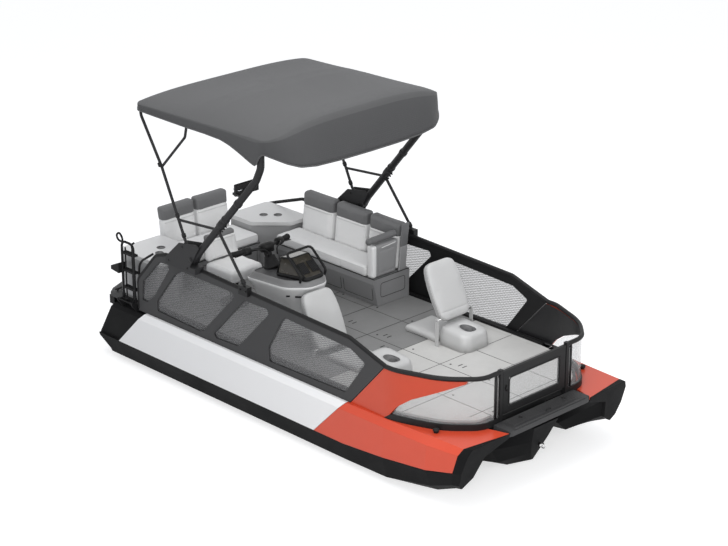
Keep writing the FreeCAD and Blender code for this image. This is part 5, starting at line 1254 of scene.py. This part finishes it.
def soft_prism(name, low_loop, high_loop, soft_edge, material, body):
    """A rounded slab between two matching outlines."""
    count = len(low_loop)
    bm = bmesh.new()
    verts = [bm.verts.new(p) for p in list(low_loop) + list(high_loop)]
    bm.faces.new([verts[i] for i in range(count)][::-1])
    bm.faces.new([verts[count + i] for i in range(count)])
    for i in range(count):
        j = (i + 1) % count
        bm.faces.new([verts[i], verts[j], verts[count + j], verts[count + i]])
    bmesh.ops.recalc_face_normals(bm, faces=bm.faces)
    rims = [e for e in bm.edges
            if len(e.link_faces) == 2 and max(len(f.verts) for f in e.link_faces) == count]
    bmesh.ops.bevel(bm, geom=rims, offset=soft_edge, segments=4, profile=0.5, affect="EDGES")
    return from_bmesh(name, bm, material, body)


back_outline = [(-0.203, -0.038, 0), (0.203, -0.038, 0), (0.227, 0.18, 0), (0.224, 0.4, 0),
                (0.184, 0.565, 0), (-0.184, 0.565, 0), (-0.224, 0.4, 0), (-0.227, 0.18, 0)]
back_shape = [(a, b) for a, b, c in ring_line(back_outline, 0.09, 6)]
back_swell, back_half, side_band = 0.0472, 0.2345, 0.022
pad_aft, pad_fore, pad_half, pad_top = 0.431, 0.8915, 0.2095, 0.7945
pad_seams = [(lambda p: p.z - 0.737, 0.006, 0.005),
             (lambda p: (p.x - 0.84) if p.z > 0.76 else far_off, 0.007, 0.006)]
pin_radius, pin_half = 0.0078, 0.249
for side, tag in ((-1, "starboard"), (1, "port")):
    name, y = f"lounger_back_{tag}", lounger_y * side
    rear = [on_back(side, -back_half_thick, a, b) for a, b in back_shape]
    front = [on_back(side, back_half_thick, a, b) for a, b in back_shape]
    back = soft_prism(f"lounger_cushion_{tag}", rear, front, soft_edge=0.02, material=vinyl_bow,
                      body=f"back_{tag}")
    pivot = Vector((hinge_at[side][0], y, hinge_at[side][1]))
    rest = plump(back, cell=0.0135, cap=0.0075,
                 stops=[(tuple(pivot + back_out * back_swell), tuple(-back_out)),
                        (tuple(pivot - back_out * back_swell), tuple(back_out)),
                        wall("y", y + back_half, -1), wall("y", y - back_half, 1)])

    def out_of(p):
        """How far a point stands out of the middle of the back."""
        return (p - pivot).dot(back_out)

    def up_of(p):
        """How far up the back a point lies from its hinge."""
        return (p - pivot).dot(back_up)

    # The band round the back's edge, between its side seams, takes the darker copy as painted shade.
    two_tone(back, rest, lambda p: abs(out_of(p)) < side_band - 0.001, vinyl_side_shade)
    sew(back, rest,
        [(lambda p: out_of(p) - side_band, 0.006, 0.005), (lambda p: out_of(p) + side_band, 0.006, 0.005),
         (lambda p: up_of(p) - 0.05 if out_of(p) > 0.02 else far_off, 0.008, 0.005)])
    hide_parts(name)
    hinge_pin = lathe((pivot.x, pivot.y - pin_half, pivot.z), leftward,
                      [(0, pin_radius), (2 * pin_half, pin_radius)], 16)
    joined(f"lounger_hinge_{tag}", [hinge_pin], steel, f"back_{tag}")
    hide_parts(name)
    pad = padded_box(f"lounger_pad_{tag}", (pad_aft, y - pad_half, deck_top + 0.0005),
                     (pad_fore, y + pad_half, pad_top), edge=0.022, cell=0.0135, cap=0.009,
                     grooves=pad_seams, material=vinyl_bow)
    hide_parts("lounger_pads")

# Ahead of each lounger stands a domed white moulding with a cup in a dark teardrop recess. Flat ears
# of the same white plastic hold the ends of each back's pin.
lounger_white = finish_of("lounger_white", (0.5, 0.5, 0.495), rough=0.34, vary=0.02, grain=900.0, bump=0.05)
block_aft, block_half, block_turn, block_steps, block_x = 0.9005, 0.194, 0.07, 72, 1.155
slope_start, slope_run, block_slope, block_top = 0.9, 0.39, 0.033, 0.9205
recess_in, recess_round, recess_tail = 0.86, 0.066, 0.05
hinge_ear = ((0.0215, 0.0), (0.016, 0.0155), (0.0, 0.0215), (-0.016, 0.0155), (-0.0215, 0.0))
for side, tag in ((-1, "starboard"), (1, "port")):
    y = lounger_y * side
    centre = (block_x, y)

    def block_ring(height, grow, slope):
        """One level of the block: its rounded plan, grown all round and falling to the bow."""
        aft, half = block_aft - grow * 0.2, block_half + grow
        plan = [(aft, -half), (1.235 + grow, -half), (1.289 + grow, -0.135 - grow),
                (1.289 + grow, 0.135 + grow), (1.235 + grow, half), (aft, half)]
        outline = [(a, b) for a, b, c in ring_line([(px, y + py, 0) for px, py in plan], block_turn)]
        ring = cast_ring(outline, centre, block_steps)
        return [(px, py, height - slope * (px - slope_start) / slope_run) for px, py in ring]

    rings = [block_ring(deck_top + 0.0005, 0.0, 0.0), block_ring(0.8, -0.006, 0.0),
             block_ring(0.858, -0.014, 0.01), block_ring(0.886, -0.021, 0.02),
             block_ring(0.903, -0.032, 0.026), block_ring(0.914, -0.047, 0.03),
             block_ring(0.92, -0.068, block_slope)]
    rim = rings[-1]
    for part in (0.25, 0.5, 0.72, recess_in):
        ring = []
        inward = part / recess_in
        crown = 0.0045 * math.sin(math.pi * inward) - (0.001 if part == recess_in else 0.0)
        for i, (px, py, pz) in enumerate(rim):
            turn = 2 * math.pi * i / block_steps
            stretch = recess_round + recess_tail * max(0.0, -math.cos(turn)) ** 3
            cx, cy = centre[0] + stretch * math.cos(turn), centre[1] + stretch * math.sin(turn)
            qx, qy = px + (cx - px) * inward, py + (cy - py) * inward
            ring.append((qx, qy, block_top + crown - block_slope * (qx - slope_start) / slope_run))
        rings.append(ring)
    rings.append([(px, py, pz - 0.01) for px, py, pz in rings[-1]])
    for radius, z in ((0.045, 0.891), (0.041, 0.889), (0.0395, 0.824)):
        rings.append([(px, py, z) for px, py in circle(centre, radius, block_steps)])
    white_rows, cup_rows = 10, 5
    bands = [0] * white_rows + [1] * cup_rows
    block = moulded(f"lounger_block_{tag}", rings, [lounger_white, cup_grey], bands)
    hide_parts("lounger_blocks")
    ear_x, ear_z = hinge_at[side]
    outline = [(ear_x - 0.0215, deck_top + 0.0005), (ear_x + 0.0215, deck_top + 0.0005)]
    outline += [(ear_x + a, ear_z + b) for a, b in hinge_ear]
    count = len(outline)
    for way in (-1, 1):
        plate_y = y + way * 0.245
        ear_points = [(a, plate_y + off, c) for off in (-0.0038, 0.0038) for a, c in outline]
        ear_faces = [tuple(range(count))[::-1], tuple(range(count, 2 * count))]
        ear_faces += [(i, (i + 1) % count, count + (i + 1) % count, count + i) for i in range(count)]
        where = "in" if way * side < 0 else "out"
        ear_piece = add_piece(f"hinge_plate_{tag}_{where}", ear_points, ear_faces, lounger_white,
                              smooth=False)
        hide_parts("lounger_blocks")


# The canopy stands on thick dark grey tubes with cast clamps, thin black legs and stays, and
# trapezoid foot castings on the fence rail. A black safety mirror hangs off the starboard strut.
strut_grey = finish_of("strut_grey", (0.018, 0.018, 0.019), rough=0.5, vary=0.07, grain=900.0, bump=0.12,
                       shine=0.2)
foot_grey = finish_of("foot_grey", (0.026, 0.026, 0.027), rough=0.55, vary=0.08, grain=700.0, bump=0.2,
                      round_edges=0.008, shine=0.2)
paint("canopy_frame", strut_grey)
paint("strut_feet", foot_grey)
paint("brace_brackets", plastic_black)
paint("mirror", plastic_black)


def clamp(start, stop, share, radius, long):
    """A clamp round a tube: a short sleeve with turned-down ends, a share of the way along it."""
    a, b = Vector(start), Vector(stop)
    wide = radius + 0.0065
    profile = [(0, radius), (0.004, wide), (long - 0.004, wide), (long, radius)]
    return lathe(tuple(a.lerp(b, share)), tuple((b - a).normalized()), profile, 24)


strut_radius, leg_radius, foot_y, leg_y = 0.0375, 0.0155, 1.158, 1.148
bolt_profile = [(-0.002, 0.011), (0.004, 0.011), (0.006, 0.008)]
bracket_bolt = [(-0.001, 0.011), (0.008, 0.011), (0.01, 0.008)]
strut_clamps, leg_clamps, strut_bolts, foot_bolts = [], [], [], []
for side in (-1, 1):
    foot, head = Vector((-1.0, foot_y * side, 1.5)), Vector((-0.115, 1.1067 * side, 2.515))
    along = (head - foot).normalized()
    for share, long in ((0.42, 0.075), (0.5, 0.03), (0.7, 0.04)):
        strut_clamps.append(clamp(foot, head, share, strut_radius, long))
    for share in (0.435, 0.465):
        for turn in (-0.02, 0.02):
            spot = foot.lerp(head, share) + along * turn + Vector((0.03, 0, -0.034))
            strut_bolts.append(lathe(tuple(spot), (0.66, 0, -0.75),
                                     [(0, 0.008), (0.014, 0.008), (0.016, 0.006)], 10))
    for (x0, z0), (x1, z1), share in (((-1.25, 1.85), (-1.495, 2.33), 0.02),
                                      ((-1.15, 1.64), (-1.25, 1.85), 0.15),
                                      ((-1.495, 2.33), (-1.81, 2.8), 0.01)):
        leg_clamps.append(clamp((x0, leg_y * side, z0), (x1, 1.14 * side, z1), share, leg_radius, 0.045))
    brace_top, brace_foot = (-0.65, 1.144 * side, 1.89), (-0.265, leg_y * side, 1.425)
    for share, long in ((0.0, 0.04), (0.9, 0.05)):
        leg_clamps.append(clamp(brace_top, brace_foot, share, leg_radius, long))
    for way in (-1, 1):
        face = foot_y * side + way * 0.0545
        foot_bolts.append(lathe((-1.0, face, 1.5), (0, way, 0),
                                [(-0.002, 0.024), (0.005, 0.024), (0.008, 0.018)], 20))
        for x, z in ((-1.35, 1.4), (-1.06, 1.39), (-1.13, 1.6)):
            foot_bolts.append(lathe((x, face, z), (0, way, 0), bolt_profile, 14))
    for x in (-0.305, -0.225):
        foot_bolts.append(lathe((x, 1.1785 * side, 1.375), (0, side, 0), bracket_bolt, 12))
    foot_bolts.append(bar([(-0.32, leg_y * side, 1.345), (-0.21, leg_y * side, 1.345)], 0.03, 12))
joined("strut_clamps", strut_clamps, strut_grey, "canopy")
joined("leg_clamps", leg_clamps, plastic_black, "canopy")
joined("strut_bolts", strut_bolts, plastic_black, "canopy")
joined("foot_bolts", foot_bolts, plastic_black)
mirror_glass = finish_of("mirror_glass", (0.5, 0.52, 0.55), rough=0.06, vary=0.02, grain=40.0, bump=0.01,
                         metal=1.0)
glass = bar([(-0.4215, -1.11, 2.35), (-0.4215, -0.85, 2.35)], 0.044, 16, flat=0.03)
joined("mirror_glass", [glass], mirror_glass, "canopy")

# At the stern the black folded ladder stands on the starboard quarter. It is bent tube with a hooked
# grab loop, three ribbed rubber treads and two inner tubes, and it swings on lugs on the fence.
paint("stern_rails", rail_black)
ladder_black = finish_of("ladder_black", (0.01, 0.01, 0.0105), rough=0.6, vary=0.1, grain=400.0, bump=0.2,
                         shine=0.15)
paint("boarding_ladder", ladder_black)
paint("ladder_lugs", rail_black)
cast_aluminium = finish_of("cast_aluminium", (0.12, 0.12, 0.122), rough=0.45, vary=0.1, grain=250.0,
                           bump=0.4, metal=0.5)
paint("jet_pump", cast_aluminium)
nozzle_metal = finish_of("nozzle_metal", (0.1, 0.1, 0.102), rough=0.4, vary=0.1, grain=250.0, bump=0.35,
                         metal=0.5)
paint("steering_nozzle", nozzle_metal)
ladder_y, ladder_tube, tread_low, tread_pitch = -1.136, 0.011, 0.8615, 0.19
hook = [(-2.19, 1.33), (-2.19, 1.395), (-2.24, 1.44), (-2.29, 1.4), (-2.265, 1.35), (-2.2, 1.345)]
grab_hook = bent([(x, ladder_y, z) for x, z in hook], 0.03)
short_hook = bent([(-2.03, ladder_y, 1.3), (-2.03, ladder_y - 0.01, 1.36), (-1.99, ladder_y - 0.01, 1.39)],
                  0.03)
ladder_bits = [bar(grab_hook, ladder_tube, 10), bar(short_hook, ladder_tube, 10)]
for k in range(3):
    z = tread_low + k * tread_pitch
    for i in range(5):
        rib_y = ladder_y + (i - 2) * 0.012 + 0.02
        ladder_bits.append(bar([(-2.19, rib_y, z), (-2.03, rib_y, z)], 0.0028, 6))
for x in (-2.165, -2.055):
    ladder_bits.append(bar([(x, ladder_y + 0.012, 0.75), (x, ladder_y + 0.012, 1.29)], 0.0085, 8))
for x in (-2.205, -2.015):
    ladder_bits.append(lathe((x, ladder_y, 0.74), upward, [(0, 0.016), (0.04, 0.016), (0.045, 0.0135)], 14))
joined("ladder_loop", ladder_bits, ladder_black, "ladder")

# Beside the ladder a short black handrail leans forward. On the port quarter a bent rail in a thick
# sleeve stands on round feet, and a cleat is screwed to the platform on each side.
handrail = bent([(-1.99, -1.09, 0.7), (-1.99, -1.09, 1.12), (-1.93, -1.098, 1.2), (-1.72, -1.118, 1.335)],
                0.08)
sleeve_y, cleat_x = 1.078, -2.44
cleat_shape = ((-0.06, 0.7), (-0.045, 0.725), (0.045, 0.725), (0.06, 0.7))
sleeve_path = [(-2.48, 0.95), (-2.48, 1.13), (-2.33, 1.19), (-1.83, 1.36), (-1.74, 1.32), (-1.74, 1.2)]
sleeve = bent([(x, sleeve_y, z) for x, z in sleeve_path], 0.09)
stern_bits = [bar(handrail, 0.0125, 10), bar(sleeve, 0.0185, 12)]
for y in (-0.98, 0.98):
    cleat_foot = [(cleat_x, y + off, z) for off, z in cleat_shape]
    stern_bits.append(bar(bent(cleat_foot, 0.012), 0.009, 8))
    stern_bits.append(bar([(cleat_x, y - 0.085, 0.726), (cleat_x, y + 0.085, 0.726)], 0.0085, 8))
for x, z in ((-2.48, 0.698), (-1.74, 1.15)):
    stern_bits.append(lathe((x, 1.083, z), upward, [(0, 0.034), (0.006, 0.034), (0.009, 0.02)], 20))
joined("stern_fittings", stern_bits, plastic_black)
grooves = []
for i in range(9):
    x = -2.625 + i * 0.035
    wide = 0.76 + min(1.0, i / 4) * 0.22
    grooves.append(bar([(x, -wide, 0.699), (x, wide, 0.699)], 0.005, 6, flat=0.35))
joined("platform_ribs", grooves, step_grey)

# The bow gate swings between double posts. Its clear panel has a black trim with rounded corners
# and a small round latch, and each post has a steel-grey strip and a second post outside it.
trim_x, trim_half, latch_y = 2.4805, 0.352, -0.39
trim = [(trim_x, -trim_half, 0.8), (trim_x, trim_half, 0.8), (trim_x, trim_half, 1.08),
        (trim_x, -trim_half, 1.08)]
gate_bits = [bar(ring_line(trim, 0.035), 0.0055, 8, closed=True)]
gate_bits.append(lathe((2.479, latch_y, 0.99), forward, [(0, 0.016), (0.008, 0.016), (0.012, 0.01)], 18))
gate_bits.append(bar([(2.487, latch_y, 0.96), (2.487, latch_y, 1.02)], 0.006, 8))
joined("gate_trim", gate_bits, plastic_black, "gate")
strips = [bar([(2.47, y, 0.76), (2.47, y, 1.12)], 0.0045, 8, flat=0.5) for y in (-0.4945, 0.4945)]
strip_grey = finish_of("strip_grey", (0.36, 0.36, 0.36), rough=0.3, vary=0.05, grain=400.0, bump=0.1,
                       metal=0.4)
joined("post_strips", strips, strip_grey)
posts = [bar([(2.463, y, deck_top), (2.463, y, 1.155)], 0.014, 8) for y in (-0.52, 0.52)]
joined("outer_posts", posts, frame_black)
red_strip = bar([(1.26, 1.094, 0.735), (1.9, 1.094, 0.735)], 0.02, 8, flat=0.12)
joined("corner_red_strip", [red_strip], corner_red)
